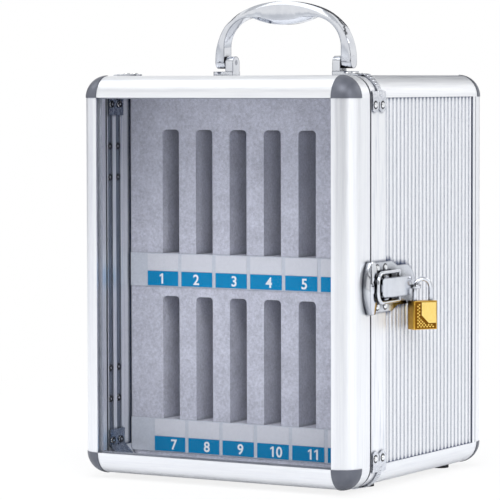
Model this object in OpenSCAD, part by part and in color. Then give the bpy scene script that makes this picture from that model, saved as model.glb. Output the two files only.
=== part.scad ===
// Tabletop locker case with a hinged window door, a rack of upright slots,
// a fold-down carrying handle and an over-centre side latch held by a padlock.
// The case stands on four feet; its door faces -Y and the latch is on +X.

/* [Case] */
// width of the case, over its side faces
case_w = 220; // [204:1:260]
// depth of the case, door included
case_d = 206; // [196:1:240]
// height of the case, without feet and handle
case_h = 282; // [270:1:320]
// outer radius of all the rounded edges
edge_r = 15.3; // [14:0.1:16.5]
// how far the corner caps stand proud of the edges
cap_proud = 0.4; // [0.2:0.1:0.8]

/* [Frame sections] */
// wall thickness of the extruded frame
frame_t = 5.5; // [5:0.1:6]
// width of the flat ring behind the door
ring_w = 21; // [20:0.5:23]
// flat leg of the rear edge section
rear_leg = 7.2; // [6:0.2:9]
// depth of the door from front to parting line
door_d = 27; // [25.5:0.5:28]
// width of the parting gap, filled by the seal
part_gap = 2; // [1.8:0.1:2.4]
// front column of rivets, from the ring's front edge
col_a = 4; // [3.6:0.1:4.4]
// rear column of rivets, from the ring's front edge
col_b = 14.3; // [13.8:0.1:14.6]
// width of the channels inside the ring
channel_w = 6; // [5.4:0.2:6.4]
// depth of the channels inside the ring
channel_t = 1; // [0.6:0.1:1.4]
// depth of the fine line along the rear edge section
hairline_t = 0.4; // [0.3:0.1:0.6]
// width of that line
hairline_w = 0.7; // [0.5:0.1:0.9]
// place of that line on the rear leg
hairline_at = 2.6; // [2:0.2:4]

/* [Panels] */
// thickness of the side, top, bottom and rear panels
panel_t = 3; // [2.6:0.1:3.2]
// how far the panels lie below the frame's faces
panel_recess = 1.2; // [1.1:0.1:1.3]
// depth of the panels in the frame's grooves
panel_grip = 2.4; // [2:0.1:3]
// clearance of a panel in its groove
panel_fit = 0.05; // [0.02:0.01:0.1]
// spacing of the moulded ribs
rib_pitch = 5.55; // [5:0.05:6.5]
// width of a rib
rib_w = 3.4; // [2.8:0.1:4]
// height of a rib
rib_h = 0.9; // [0.6:0.1:1]

/* [Door] */
// thickness of the lip in front of the pane
lip_t = 2.2; // [2:0.1:2.6]
// thickness of the window pane
pane_t = 3; // [2:0.1:3.2]
// thickness of the gasket behind the pane
gasket_t = 1.2; // [1:0.1:1.4]
// thickness of the bead behind the gasket
bead_t = 2; // [1.6:0.1:2.2]
// depth of the pane in the door frame
pane_grip = 5; // [4:0.2:6]
// visible edge of the gasket
gasket_show = 0.8; // [0.4:0.1:1.4]
// width of the seal in the parting gap
seal_w = 3.4; // [2.8:0.1:3.6]
// inset of the seal from the outside
seal_inset = 1.2; // [1:0.1:1.5]
// gap between the closed door and the seal
seal_gap = 0.3; // [0.3:0.05:0.5]

/* [Corner clamps] */
// sheet thickness of the corner clamps
clamp_t = 1.2; // [1:0.1:1.4]
// height of a clamp's rivets from the case's edge
clamp_at = 20.2; // [19.8:0.2:21.4]
// radius of a clamp's lobes
clamp_lobe = 5; // [4.6:0.1:5.1]
// width of the strap around the corner
strap_w = 6; // [5:0.2:7]
// distance of the strap behind the ring's front edge
strap_y = 8.2; // [6:0.2:9]
// angle of the clamp's shoulders on the rounded edge
shoulder_a = 16; // [12:1:20]
// sheet thickness of the inner corner braces
brace_t = 1.2; // [1:0.1:1.6]
// length of a brace's pad from the case's edge
brace_reach = 28; // [25:0.5:32]
// where a brace's diagonal leaves the walls
brace_knee = 16.8; // [16.6:0.1:17.2]
// radius of the rivet shanks
rivet_r = 1.3; // [1:0.1:1.5]
// radius of the rivet heads
rivet_head = 2.1; // [1.9:0.1:2.3]
// height of the rivet heads
rivet_head_h = 0.9; // [0.6:0.1:1.1]
// clearance of a rivet in its hole
rivet_fit = 0.04; // [0.02:0.01:0.08]

/* [Hinges] */
// radius of the hinge barrels
barrel_r = 2.2; // [2:0.1:2.4]
// clearance of the barrels from the case
barrel_gap = 0.1; // [0.1:0.05:0.3]
// radius of the hinge pins
hinge_pin_r = 1; // [0.8:0.1:1.2]
// running clearance of the hinge pins
hinge_fit = 0.05; // [0.03:0.01:0.08]
// thickness of the hinge leaves
leaf_t = 1.2; // [1:0.1:1.4]
// height of a hinge
leaf_h = 35; // [34:1:40]
// half height of the door's knuckle
knuckle_half = 6.9; // [6:0.1:8]
// gap between two knuckles
knuckle_gap = 0.3; // [0.2:0.05:0.5]
// length of a hinge's body leaf behind its axis
leaf_back = 21; // [20:0.5:22]
// length of a hinge's door leaf ahead of its axis
leaf_front = 12; // [11:0.5:12.5]
// distance of a hinge's rivets from its middle
leaf_rivet = 11.15; // [10.5:0.25:13]
// distance of a hinge's middle from the top or bottom of the case
hinge_inset = 61.3; // [50:1:80]

/* [Latch] */
// height of the latch's middle
latch_z = 137.7; // [120:1:170]
// thickness of the latch's base plate
base_t = 2.5; // [2:0.1:2.6]
// gap from the parting line to the base plate
base_gap = 0.2; // [0.2:0.1:1]
// half height of the base plate's front part
base_half = 17.3; // [16.6:0.1:18]
// length of the base plate's tall part
base_len = 25; // [24:0.5:26]
// length of the slope behind it
base_slope = 8; // [6:0.5:9]
// half height of the base plate's rear part
tail_half = 13.8; // [12.5:0.1:14]
// distance of the base's rivets from its middle line
base_rivet_z = 13.1; // [12.8:0.1:13.6]
// radius of the latch's rivet heads
base_rivet_head = 2.2; // [2:0.1:2.4]
// height of the lever's pivot above the case's side
pivot_h = 7.6; // [7.5:0.05:7.8]
// distance of the lever's pivot behind the ring's front edge
pivot_y = 5.5; // [5.3:0.1:5.8]
// radius of the lever's pivot pins
pivot_r = 1; // [0.9:0.05:1.1]
// running clearance of the pivot pins
pivot_fit = 0.05; // [0.03:0.01:0.08]
// thickness of the pivot's ears
ear_t = 1; // [0.8:0.1:1.1]
// gap between an ear and the lever
ear_gap = 0.3; // [0.25:0.05:0.35]
// radius of the ears around the pivot
ear_r = 2.6; // [2.2:0.1:3]
// half width of the lever
lever_half = 6.7; // [6.4:0.1:6.8]
// sheet thickness of the lever
lever_t = 1.2; // [1:0.1:1.3]
// height of the lever's underside
lever_low = 3; // [3:0.05:3.1]
// height of the lever's middle facet
lever_top = 11; // [10.8:0.1:11.2]
// height of the lever's front edge
lever_nose = 8.3; // [8.2:0.1:8.4]
// height of the lever's rear edge
lever_tail = 9; // [8.6:0.1:9.4]
// distance from the pivot to the first fold
fold_a = 4.5; // [4:0.1:5]
// distance from the pivot to the second fold
fold_b = 19.5; // [18:0.5:21]
// distance from the pivot to the rear end
fold_c = 36.5; // [36:0.1:36.6]
// radius of the lever's corners seen from the side of the case
lever_corner = 2.5; // [1.5:0.25:3]
// length of the lever's forked tongue behind the rear end
tongue_len = 6; // [5:0.5:6]
// half width of the tongue
tongue_half = 5; // [4.8:0.1:5.2]
// side clearance of the tongue around the eye
tongue_gap = 0.4; // [0.3:0.05:0.5]
// radius of the bail's wire
bail_r = 1.25; // [1.1:0.05:1.3]
// clearance of the bail's ends in the lever
bail_fit = 0.05; // [0.03:0.01:0.08]
// distance of the bail's arms from the middle line
bail_half = 10.15; // [10.1:0.05:10.6]
// corner radius of the bail
bail_corner = 7.3; // [6.8:0.1:7.4]
// distance from the lever's pivot to the bail's pivot
bail_reach = 23.5; // [22:0.25:24]
// height of the bail's pivot
bail_low = 6; // [5.8:0.1:6.2]
// height of the bail's bar on the keeper
bar_h = 7.9; // [7.8:0.05:8.1]
// distance of the bar ahead of the door's parting edge
bar_back = 2.9; // [2.9:0.05:3.1]
// height of the keeper's dome
keeper_h = 6.3; // [6:0.1:6.4]
// radius across the dome
keeper_dome = 82; // [70:1:95]
// radius of the keeper's rounded front
keeper_plan = 33.2; // [30:0.2:38]
// depth of the keeper
keeper_d = 10.8; // [10:0.1:11]
// half height of the keeper
keeper_half = 18; // [17:0.1:18.4]
// thickness of the keeper's hook
hook_t = 1.2; // [1:0.05:1.25]
// half width of the keeper's hook
hook_half = 2.6; // [2.2:0.1:2.6]
// height of the keeper's hook
hook_h = 10; // [9.4:0.1:10.2]
// radius of the keeper's studs
stud_r = 1.5; // [1.2:0.1:1.8]
// distance of the studs from the middle line
stud_z = 11; // [9:0.5:12]

/* [Padlock] */
// height of the eye's hole above the case's side
eye_h = 8.6; // [8.5:0.05:8.8]
// distance from the lever's pivot to the eye
eye_reach = 41.5; // [41.4:0.1:42]
// radius of the eye's hole
eye_hole = 2.6; // [2.5:0.05:2.7]
// radius of the eye's lug
eye_lug = 4.5; // [4.3:0.05:4.5]
// thickness of the eye's lug
lug_t = 2.6; // [2.2:0.1:2.8]
// height of the lug's top above the latch's middle
lug_top = -0.3; // [-0.5:0.1:-0.2]
// radius of the shackle's wire
shackle_r = 1.6; // [1.4:0.05:1.7]
// spacing of the shackle's legs
leg_gap = 12.3; // [11.6:0.1:13]
// height of the centre of the shackle's bow
bow_z = -2.75; // [-3:0.05:-2.6]
// top of the padlock's body below the latch's middle
lock_top = 11.6; // [11.5:0.1:13]
// height of the padlock's body
lock_h = 19.8; // [19:0.2:24]
// width of the padlock's body
lock_w = 18.6; // [17.6:0.2:20]
// thickness of the padlock's body
lock_t = 9.5; // [9:0.1:9.8]
// radius of the body's upright corners
lock_corner = 1.2; // [0.8:0.1:2]
// turn of the hanging padlock away from the case's side
lock_turn = 35.7; // [35:0.1:40]
// depth of the short leg in the body
short_leg = 4.5; // [4:0.1:5.5]
// depth of the long leg in the body
long_leg = 14; // [13:0.5:15]
// sliding clearance of the shackle's legs
leg_fit = 0.05; // [0.03:0.01:0.08]
// radius of the key plug
plug_r = 3.5; // [3:0.1:3.8]
// running clearance of the key plug
plug_fit = 0.05; // [0.03:0.01:0.08]
// length of the key plug
plug_len = 13; // [11:0.5:14]
// width of the keyway
key_w = 0.9; // [0.7:0.1:1.2]
// length of the keyway across the plug
key_len = 4.5; // [3.5:0.25:5]
// depth of the keyway
key_deep = 8; // [6:0.5:10]

/* [Handle] */
// half width of the handle over its legs
handle_half = 56; // [54:0.5:60]
// width of a handle leg
leg_w = 7.7; // [7.2:0.1:9]
// height of the pivots above the case
handle_pivot = 9.5; // [9.2:0.1:10.5]
// height of the handle above the case
handle_top = 53.2; // [52:0.2:56]
// radius of the grip's top arc
arch_r = 89; // [86:0.5:94]
// radius of the handle's shoulders
shoulder_r = 39; // [37:0.2:40]
// radius of the opening's corners
notch_r = 21.8; // [20:0.2:22]
// height of the opening's corner centres
notch_z = 20; // [18:0.2:20]
// height of the grip's underside at the middle
grip_low = 36.5; // [35.5:0.1:37]
// radius of the grip's rounded underside
grip_r = 64; // [62:0.5:68]
// half depth of the grip at the middle
grip_half = 7; // [6.5:0.1:7.5]
// half depth of the legs
leg_half = 4.5; // [4.2:0.1:4.7]
// height of the upper bevel's edge at the middle of the grip
bevel_top = 50.6; // [50:0.2:51.6]
// radius of the upper bevel's edge
bevel_r = 73.5; // [72:0.5:75]
// depth of the upper bevel
bevel_d = 4.5; // [4:0.1:4.6]
// depth of the bevel along the grip's underside
bevel_low = 3; // [1.5:0.1:3.4]
// radius of the handle's pins
handle_pin_r = 2; // [1.6:0.1:2.4]
// running clearance of the handle's pins
handle_fit = 0.05; // [0.03:0.01:0.08]
// depth of the pins in the legs
pin_deep = 5.5; // [4:0.5:6]
// gap between a leg and its bracket
bracket_gap = 0.8; // [0.5:0.1:1.2]
// width of a bracket's upright
upright_w = 6.4; // [6:0.1:8]
// half depth of a bracket's upright
upright_half = 4.7; // [4.4:0.1:5]
// height of a bracket's upright
upright_top = 14; // [13.6:0.1:15]
// height of the bracket's plate above the case
plate_top = 3; // [2.8:0.1:3.2]
// reach of the bracket's plate beyond the leg
plate_out = 1.2; // [0:0.1:2]
// half depth of the bracket's plate
plate_half = 5.2; // [5.1:0.1:6]
// radius of the bracket's screws
screw_r = 1.2; // [1:0.1:1.3]
// radius of their heads
screw_head = 2.1; // [1.9:0.1:2.2]
// distance of the screws from the handle's plane
screw_y = 2.7; // [2.6:0.1:2.8]

/* [Rack] */
// depth of the rack's front face behind the case's front
rack_y = 60; // [56:1:70]
// thickness of the covering skin
skin_t = 2; // [1.5:0.5:3]
// width of a slot
slot_w = 14; // [12:0.5:16]
// height of a slot
slot_h = 89; // [80:1:92]
// spacing of the slots
slot_pitch = 28.15; // [26:0.05:30]
// number of slots in a row
slots = 6; // [4:1:6]
// height of the lower row's floor
row_low = 34.8; // [32:0.5:36]
// height of the shelf between the rows
shelf_h = 30.7; // [28:0.5:32]
// radius of the slots' upper corners in the skin
slot_corner = 3; // [1:0.5:5]
// height of a label strip
strip_h = 24; // [20:0.5:25]
// thickness of a label strip
strip_t = 0.6; // [0.4:0.1:1]
// thickness of the rack's back board
board_t = 4; // [3:0.5:6]

/* [Feet] */
// radius of a foot
foot_r = 6.5; // [5.5:0.5:6.5]
// height of the feet below the case
foot_h = 3.2; // [2.8:0.1:5]
// distance of the feet from the sides
foot_x = 23; // [23:0.5:30]
// distance of the front feet from the front
foot_front = 62; // [60:1:80]
// distance of the rear feet from the rear
foot_rear = 29.5; // [29.5:0.5:50]
// radius of the feet's screws
foot_screw = 1.6; // [1.2:0.1:2]

/* [Hidden] */
$fn = 64;
over = 1;
ring_y0 = door_d + part_gap;
ring_y1 = ring_y0 + ring_w;
back_y = case_d - edge_r;
leg_y = back_y - rear_leg;
inner_r = edge_r - frame_t;
rib_r = (rib_w * rib_w / 4 + rib_h * rib_h) / (2 * rib_h);
rebate_d = lip_t + pane_t + gasket_t + bead_t;
rack_back = case_d - panel_recess - panel_t;
board_y = rack_back - board_t;
row_low_top = row_low + slot_h;
row_high = row_low_top + shelf_h;
row_high_top = row_high + slot_h;
slot_first = case_w / 2 - (slots - 1) * slot_pitch / 2;
hinge_x = -barrel_r - barrel_gap;
hinge_y = door_d + part_gap / 2;
leaf_clear = barrel_r + 0.4;
lever_y = ring_y0 + pivot_y;
eye_y = lever_y + eye_reach;
bail_y = lever_y + bail_reach;
bar_y = door_d - bar_back;
bail_len = sqrt(pow(bail_y - bar_y, 2) + pow(bar_h - bail_low, 2));
bail_tilt = atan2(bar_h - bail_low, bail_y - bar_y);
keeper_front = door_d - 0.2 - keeper_d;
ear_in = lever_half + ear_gap;
ear_out = ear_in + ear_t;
lug_low = lug_top - lug_t;
nose_r = pivot_h - lever_low;
handle_y = case_d / 2;
leg_in = handle_half - leg_w;
arch_z = handle_top - arch_r;
shoulder_x = handle_half - shoulder_r;
shoulder_z = arch_z + sqrt(pow(arch_r - shoulder_r, 2) - pow(shoulder_x, 2));
shoulder_join = shoulder_x * arch_r / (arch_r - shoulder_r);
notch_x = leg_in - notch_r;
barrel_big = (handle_half * handle_half + pow(grip_half - leg_half, 2)) / (2 * (grip_half - leg_half));
upright_out = leg_in - bracket_gap;
screw_x = (handle_half + plate_out + upright_out) / 2;
pin_seat = 0.02;
lock_reach = eye_h + (leg_gap + lock_w) / 2 * sin(lock_turn) + lock_t / 2 * cos(lock_turn);
hinge_reach = 2 * barrel_r + barrel_gap;
case_x = (hinge_reach - lock_reach - case_w) / 2;
case_y = -case_d / 2;
frame_color = [0.90, 0.91, 0.93];
panel_color = [0.84, 0.85, 0.88];
cap_color = [0.36, 0.37, 0.41];
sheet_color = [0.66, 0.68, 0.72];
steel_color = [0.78, 0.79, 0.82];
felt_color = [0.50, 0.52, 0.56];
rubber_color = [0.12, 0.12, 0.14];

// ---- placing: flat shapes drawn as (y, z), (x, z) or (x, y) and pulled along the third axis

module along_x(x0, x1)
{
    translate([x0, 0, 0])
        rotate([90, 0, 90])
            linear_extrude(x1 - x0)
                children();
}

module along_y(y0, y1)
{
    translate([0, y1, 0])
        rotate([90, 0, 0])
            linear_extrude(y1 - y0)
                children();
}

module along_z(z0, z1)
{
    translate([0, 0, z0])
        linear_extrude(z1 - z0)
            children();
}

module swapped()
{
    mirror([1, -1, 0])
        children();
}

module on_right()
{
    translate([case_w, 0, 0])
        mirror([1, 0, 0])
            children();
}

module on_top()
{
    translate([0, 0, case_h])
        mirror([0, 0, 1])
            children();
}

module at_rear()
{
    translate([0, case_d, 0])
        mirror([0, 1, 0])
            children();
}

module four_corners()
{
    children();
    on_right()
        children();
    on_top()
        children();
    on_right()
        on_top()
            children();
}

module at_case()
{
    translate([case_x, case_y, foot_h])
        children();
}

module at_latch()
{
    at_case()
        translate([case_w, 0, latch_z])
            children();
}

module at_padlock()
{
    at_latch()
        translate([eye_h, eye_y, 0])
            rotate([0, 0, -lock_turn])
                children();
}

// rectangle with rounded corners, centred
module soft_rect(w, h, r)
{
    square([w - 2 * r, h], center = true);
    square([w, h - 2 * r], center = true);
    for (i = [-1, 1])
        for (j = [-1, 1])
            translate([i * (w / 2 - r), j * (h / 2 - r)])
                circle(r);
}

// quarter of a pipe about (edge_r, edge_r), in the corner at the origin
module quarter_pipe(r_in)
{
    intersection() {
        translate([edge_r, edge_r])
            difference() {
                circle(edge_r);
                circle(r_in);
            }
        square(edge_r);
    }
}

// slot for a panel's edge, in a section end that faces +y
module panel_groove(end_y)
{
    translate([panel_recess - panel_fit, end_y - panel_grip - panel_fit])
        square([panel_t + 2 * panel_fit, panel_grip + panel_fit + over]);
}

module edge_section()
{
    difference() {
        quarter_pipe(inner_r);
        panel_groove(edge_r);
        swapped()
            panel_groove(edge_r);
    }
}

module ring_section()
{
    difference() {
        translate([0, ring_y0])
            square([frame_t, ring_w]);
        panel_groove(ring_y1);
        for (c = [col_a, col_b])
            translate([frame_t - channel_t, ring_y0 + c - channel_w / 2])
                square([channel_t + over, channel_w]);
    }
}

// section of the rear edges, with y counted from the rear face
module rear_section()
{
    difference() {
        union() {
            quarter_pipe(inner_r);
            translate([0, edge_r])
                square([frame_t, rear_leg]);
        }
        panel_groove(edge_r + rear_leg);
        swapped()
            panel_groove(edge_r);
        translate([-over, edge_r + hairline_at])
            square([hairline_t + over, hairline_w]);
    }
}

module door_section()
{
    difference() {
        union() {
            intersection() {
                translate([edge_r, edge_r])
                    circle(edge_r);
                square(edge_r);
            }
            translate([0, edge_r])
                square([frame_t, door_d - edge_r]);
        }
        translate([frame_t, rebate_d])
            square([edge_r, door_d]);
        translate([edge_r - pane_grip - panel_fit, lip_t - panel_fit])
            square([pane_grip + over, pane_t + gasket_t + 2 * panel_fit]);
    }
}

// ---- rivets: the head lies below z = 0, the shank runs up through the pieces it joins

module rivet(grip, head_r, head_h, tail)
{
    translate([0, 0, -head_h])
        cylinder(h = head_h, r1 = head_r * 0.68, r2 = head_r);
    translate([0, 0, -head_h / 2])
        cylinder(h = grip + head_h / 2, r = rivet_r);
    if (tail > 0)
        translate([0, 0, grip])
            cylinder(h = tail, r1 = head_r, r2 = head_r * 0.6);
}

module rivet_bore(at)
{
    translate([at[0], at[1], at[2]])
        rotate([0, 90, 0])
            translate([0, 0, -4 * over])
                cylinder(h = 16 * over, r = rivet_r + rivet_fit);
}

module clamp_side_bores()
{
    for (c = [col_a, col_b])
        for (z = [clamp_at, case_h - clamp_at])
            rivet_bore([0, ring_y0 + c, z]);
}

module hinge_body_spots()
{
    for (z = [hinge_inset, case_h - hinge_inset])
        for (j = [-1, 1])
            for (c = [col_a, col_b])
                translate([0, ring_y0 + c, z + j * leaf_rivet])
                    rotate([0, 90, 0])
                        children();
}

module hinge_door_spots()
{
    for (z = [hinge_inset, case_h - hinge_inset])
        for (j = [-1, 1])
            translate([0, hinge_y - leaf_clear - 4.4, z + j * leaf_rivet])
                rotate([0, 90, 0])
                    children();
}

module latch_rivet_spots()
{
    for (y = [ring_y0 + col_a, ring_y0 + col_b + 0.9])
        for (j = [-1, 1])
            translate([0, y, j * base_rivet_z])
                rotate([0, -90, 0])
                    children();
}

module clamp_plate_bores()
{
    for (c = [col_a, col_b])
        translate([clamp_at, ring_y0 + c, -2 * over])
            cylinder(h = 12 * over, r = rivet_r + rivet_fit);
}

// ---- frame of the body

module left_post_solid()
{
    difference() {
        along_z(edge_r, case_h - edge_r)
            ring_section();
        clamp_side_bores();
    }
}

module ring_left_post()
{
    color(frame_color)
        at_case()
            difference() {
                left_post_solid();
                hinge_body_spots()
                    translate([0, 0, -over])
                        cylinder(h = 10 * over, r = rivet_r + rivet_fit);
            }
}

module ring_right_post()
{
    color(frame_color)
        at_case()
            difference() {
                on_right()
                    left_post_solid();
                translate([case_w, 0, latch_z])
                    latch_rivet_spots()
                        translate([0, 0, -over])
                            cylinder(h = 10 * over, r = rivet_r + rivet_fit);
            }
}

module bottom_bar_solid()
{
    difference() {
        along_x(edge_r, case_w - edge_r)
            swapped()
                ring_section();
        clamp_plate_bores();
        on_right()
            clamp_plate_bores();
    }
}

module ring_bottom_bar()
{
    color(frame_color)
        at_case()
            bottom_bar_solid();
}

module ring_top_bar()
{
    color(frame_color)
        at_case()
            on_top()
                bottom_bar_solid();
}

module side_rail()
{
    along_y(ring_y0, back_y)
        edge_section();
}

module bottom_left_rail()
{
    color(frame_color)
        at_case()
            side_rail();
}

module bottom_right_rail()
{
    color(frame_color)
        at_case()
            on_right()
                side_rail();
}

module top_left_rail()
{
    color(frame_color)
        at_case()
            on_top()
                side_rail();
}

module top_right_rail()
{
    color(frame_color)
        at_case()
            on_right()
                on_top()
                    side_rail();
}

module rear_left_solid()
{
    at_rear()
        along_z(edge_r, case_h - edge_r)
            rear_section();
}

module rear_bottom_solid()
{
    at_rear()
        along_x(edge_r, case_w - edge_r)
            swapped()
                rear_section();
}

module rear_left_post()
{
    color(frame_color)
        at_case()
            rear_left_solid();
}

module rear_right_post()
{
    color(frame_color)
        at_case()
            on_right()
                rear_left_solid();
}

module rear_bottom_rail()
{
    color(frame_color)
        at_case()
            rear_bottom_solid();
}

module rear_top_rail()
{
    color(frame_color)
        at_case()
            on_top()
                rear_bottom_solid();
}

// ball-shaped cap that closes a corner where three rounded edges meet
module corner_cap()
{
    intersection() {
        translate([edge_r, edge_r, edge_r])
            sphere(edge_r + cap_proud);
        translate([-over, -over, -over])
            cube(edge_r + over);
    }
}

module rear_corner_caps()
{
    color(cap_color)
        at_case()
            at_rear()
                four_corners()
                    corner_cap();
}

// ---- panels

module ribs(from, to)
{
    count = floor((to - from) / rib_pitch);
    start = (from + to - (count - 1) * rib_pitch) / 2;
    for (i = [0 : count - 1])
        translate([0, start + i * rib_pitch])
            intersection() {
                translate([panel_recess + rib_r - rib_h, 0])
                    circle(rib_r);
                translate([-over, -rib_w / 2])
                    square([panel_recess + over, rib_w]);
            }
}

module side_panel_solid()
{
    along_x(panel_recess, panel_recess + panel_t)
        translate([ring_y1 - panel_grip, edge_r - panel_grip])
            square([leg_y - ring_y1 + 2 * panel_grip, case_h - 2 * edge_r + 2 * panel_grip]);
    along_z(edge_r, case_h - edge_r)
        ribs(ring_y1, leg_y);
}

module left_panel()
{
    color(panel_color)
        at_case()
            side_panel_solid();
}

module right_panel()
{
    color(panel_color)
        at_case()
            on_right()
                side_panel_solid();
}

module flat_panel_shape()
{
    translate([edge_r - panel_grip, ring_y1 - panel_grip])
        square([case_w - 2 * edge_r + 2 * panel_grip, leg_y - ring_y1 + 2 * panel_grip]);
}

module foot_spots()
{
    for (x = [foot_x, case_w - foot_x])
        for (y = [foot_front, case_d - foot_rear])
            translate([x, y, 0])
                children();
}

module screw_spots()
{
    for (i = [-1, 1])
        for (j = [-1, 1])
            translate([case_w / 2 + i * screw_x, handle_y + j * screw_y, case_h])
                children();
}

module top_panel()
{
    color(panel_color)
        at_case()
            difference() {
                along_z(case_h - panel_recess - panel_t, case_h - panel_recess)
                    flat_panel_shape();
                screw_spots()
                    translate([0, 0, -10 * over])
                        cylinder(h = 20 * over, r = screw_r + rivet_fit);
            }
}

module bottom_panel()
{
    color(panel_color)
        at_case()
            difference() {
                along_z(panel_recess, panel_recess + panel_t)
                    flat_panel_shape();
                foot_spots()
                    translate([0, 0, -over])
                        cylinder(h = 10 * over, r = foot_screw + rivet_fit);
            }
}

module rear_panel()
{
    color(panel_color)
        at_case()
            at_rear() {
                along_y(panel_recess, panel_recess + panel_t) {
                    translate([edge_r - panel_grip, edge_r])
                        square([case_w - 2 * edge_r + 2 * panel_grip, case_h - 2 * edge_r]);
                    translate([edge_r, edge_r - panel_grip])
                        square([case_w - 2 * edge_r, case_h - 2 * edge_r + 2 * panel_grip]);
                }
                along_z(edge_r, case_h - edge_r)
                    swapped()
                        ribs(edge_r, case_w - edge_r);
            }
}

// ---- clamps around the ring's corners

// part of a sheet bent around the bottom left edge, from angle a0, through a
module bent_sheet(y0, y1, r0, t, a0, a)
{
    translate([edge_r, 0, edge_r])
        rotate([-90, 0, 0])
            rotate([0, 0, a0])
                rotate_extrude(angle = a)
                    translate([r0, y0])
                        square([t, y1 - y0]);
}

// what is cut from the bent sheet beside the strap
module bent_cut(y0, y1)
{
    bent_sheet(y0, y1, edge_r - over, clamp_t + 2 * over, 90 + shoulder_a, 90 - 2 * shoulder_a);
}

// two riveted lobes with a slit between them, drawn as (y, z)
module clamp_lobes()
{
    difference() {
        union() {
            for (c = [col_a, col_b])
                translate([ring_y0 + c, clamp_at])
                    circle(clamp_lobe);
            translate([ring_y0 + col_a - clamp_lobe, edge_r])
                square([col_b - col_a + 2 * clamp_lobe, clamp_at - edge_r]);
        }
        for (c = [col_a, col_b])
            translate([ring_y0 + c, clamp_at])
                circle(rivet_r + rivet_fit);
        translate([ring_y0 + (col_a + col_b) / 2 - 0.5, clamp_at - 2])
            square([1, 3 * clamp_lobe]);
    }
}

module corner_clamp()
{
    y0 = ring_y0 + 0.4;
    y1 = ring_y0 + col_b + clamp_lobe;
    along_x(-clamp_t, 0)
        intersection() {
            clamp_lobes();
            translate([y0, 0])
                square([y1 - y0, 3 * edge_r]);
        }
    along_z(-clamp_t, 0)
        swapped()
            intersection() {
                clamp_lobes();
                translate([y0, 0])
                    square([y1 - y0, 3 * edge_r]);
            }
    difference() {
        bent_sheet(y0, y1, edge_r, clamp_t, 90, 90);
        bent_cut(y0 - over, ring_y0 + strap_y);
        bent_cut(ring_y0 + strap_y + strap_w, y1 + over);
    }
}

module corner_clamps()
{
    color(sheet_color)
        at_case()
            four_corners()
                corner_clamp();
}

module clamp_rivet_pairs()
{
    for (c = [col_a, col_b]) {
        translate([-clamp_t, ring_y0 + c, clamp_at])
            rotate([0, 90, 0])
                rivet(clamp_t + frame_t + brace_t, rivet_head, rivet_head_h, rivet_head_h);
        translate([clamp_at, ring_y0 + c, -clamp_t])
            rivet(clamp_t + frame_t + brace_t, rivet_head, rivet_head_h, rivet_head_h);
    }
}

module clamp_rivets()
{
    color(steel_color)
        at_case()
            four_corners()
                clamp_rivet_pairs();
}

module corner_brace()
{
    lift = brace_t * (sqrt(2) - 1);
    difference() {
        along_y(ring_y0 + 1.5, ring_y1 - 1.5)
            polygon([
                [frame_t, brace_reach],
                [frame_t, brace_knee],
                [brace_knee, frame_t],
                [brace_reach, frame_t],
                [brace_reach, frame_t + brace_t],
                [brace_knee + lift, frame_t + brace_t],
                [frame_t + brace_t, brace_knee + lift],
                [frame_t + brace_t, brace_reach]
            ]);
        clamp_side_bores();
        clamp_plate_bores();
    }
}

module inner_corner_braces()
{
    color(sheet_color)
        at_case()
            four_corners()
                corner_brace();
}

module door_seal()
{
    w = case_w - 2 * seal_inset;
    h = case_h - 2 * seal_inset;
    color(rubber_color)
        at_case()
            translate([case_w / 2, 0, case_h / 2])
                along_y(door_d + seal_gap, ring_y0)
                    difference() {
                        soft_rect(w, h, edge_r - seal_inset);
                        soft_rect(w - 2 * seal_w, h - 2 * seal_w, edge_r - seal_inset - seal_w);
                    }
}

// ---- feet

module feet()
{
    color(rubber_color)
        at_case()
            foot_spots()
                difference() {
                    translate([0, 0, -foot_h])
                        cylinder(h = foot_h + panel_recess, r = foot_r);
                    translate([0, 0, -foot_h - over])
                        cylinder(h = foot_h + over, r = 1.75 * foot_screw);
                    cylinder(h = 4 * over, r = foot_screw + rivet_fit, center = true);
                }
}

module foot_screws()
{
    color(steel_color)
        at_case()
            foot_spots() {
                translate([0, 0, -1.2])
                    cylinder(h = 1.2, r = 1.7 * foot_screw);
                translate([0, 0, -0.6])
                    cylinder(h = 0.6 + panel_recess + panel_t + 1, r = foot_screw);
            }
}

// ---- hinges

module hinge_at(z)
{
    at_case()
        translate([0, 0, z])
            children();
}

module barrel(z0, z1)
{
    translate([hinge_x, hinge_y, z0])
        cylinder(h = z1 - z0, r = barrel_r);
}

module pin_bore()
{
    translate([hinge_x, hinge_y, -leaf_h])
        cylinder(h = 2 * leaf_h, r = hinge_pin_r + hinge_fit);
}

module body_leaf()
{
    knuckle_end = knuckle_half + knuckle_gap;
    difference() {
        union() {
            translate([-leaf_t, hinge_y + leaf_clear, -leaf_h / 2])
                cube([leaf_t, leaf_back - leaf_clear, leaf_h]);
            for (z = [-leaf_h / 2, knuckle_end]) {
                translate([-leaf_t, hinge_y, z])
                    cube([leaf_t, leaf_clear + over, leaf_h / 2 - knuckle_end]);
                barrel(z, z + leaf_h / 2 - knuckle_end);
            }
        }
        pin_bore();
        for (j = [-1, 1])
            for (c = [col_a, col_b])
                rivet_bore([0, ring_y0 + c, j * leaf_rivet]);
    }
}

module hinge_body_leaves()
{
    color(sheet_color)
        for (z = [hinge_inset, case_h - hinge_inset])
            hinge_at(z)
                body_leaf();
}

module door_leaf()
{
    difference() {
        union() {
            translate([-leaf_t, hinge_y - leaf_front, -leaf_h / 2])
                cube([leaf_t, leaf_front - leaf_clear, leaf_h]);
            translate([-leaf_t, hinge_y - leaf_clear - over, -knuckle_half])
                cube([leaf_t, leaf_clear + over, 2 * knuckle_half]);
            barrel(-knuckle_half, knuckle_half);
        }
        pin_bore();
        for (j = [-1, 1])
            rivet_bore([0, hinge_y - leaf_clear - 4.4, j * leaf_rivet]);
    }
}

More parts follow.
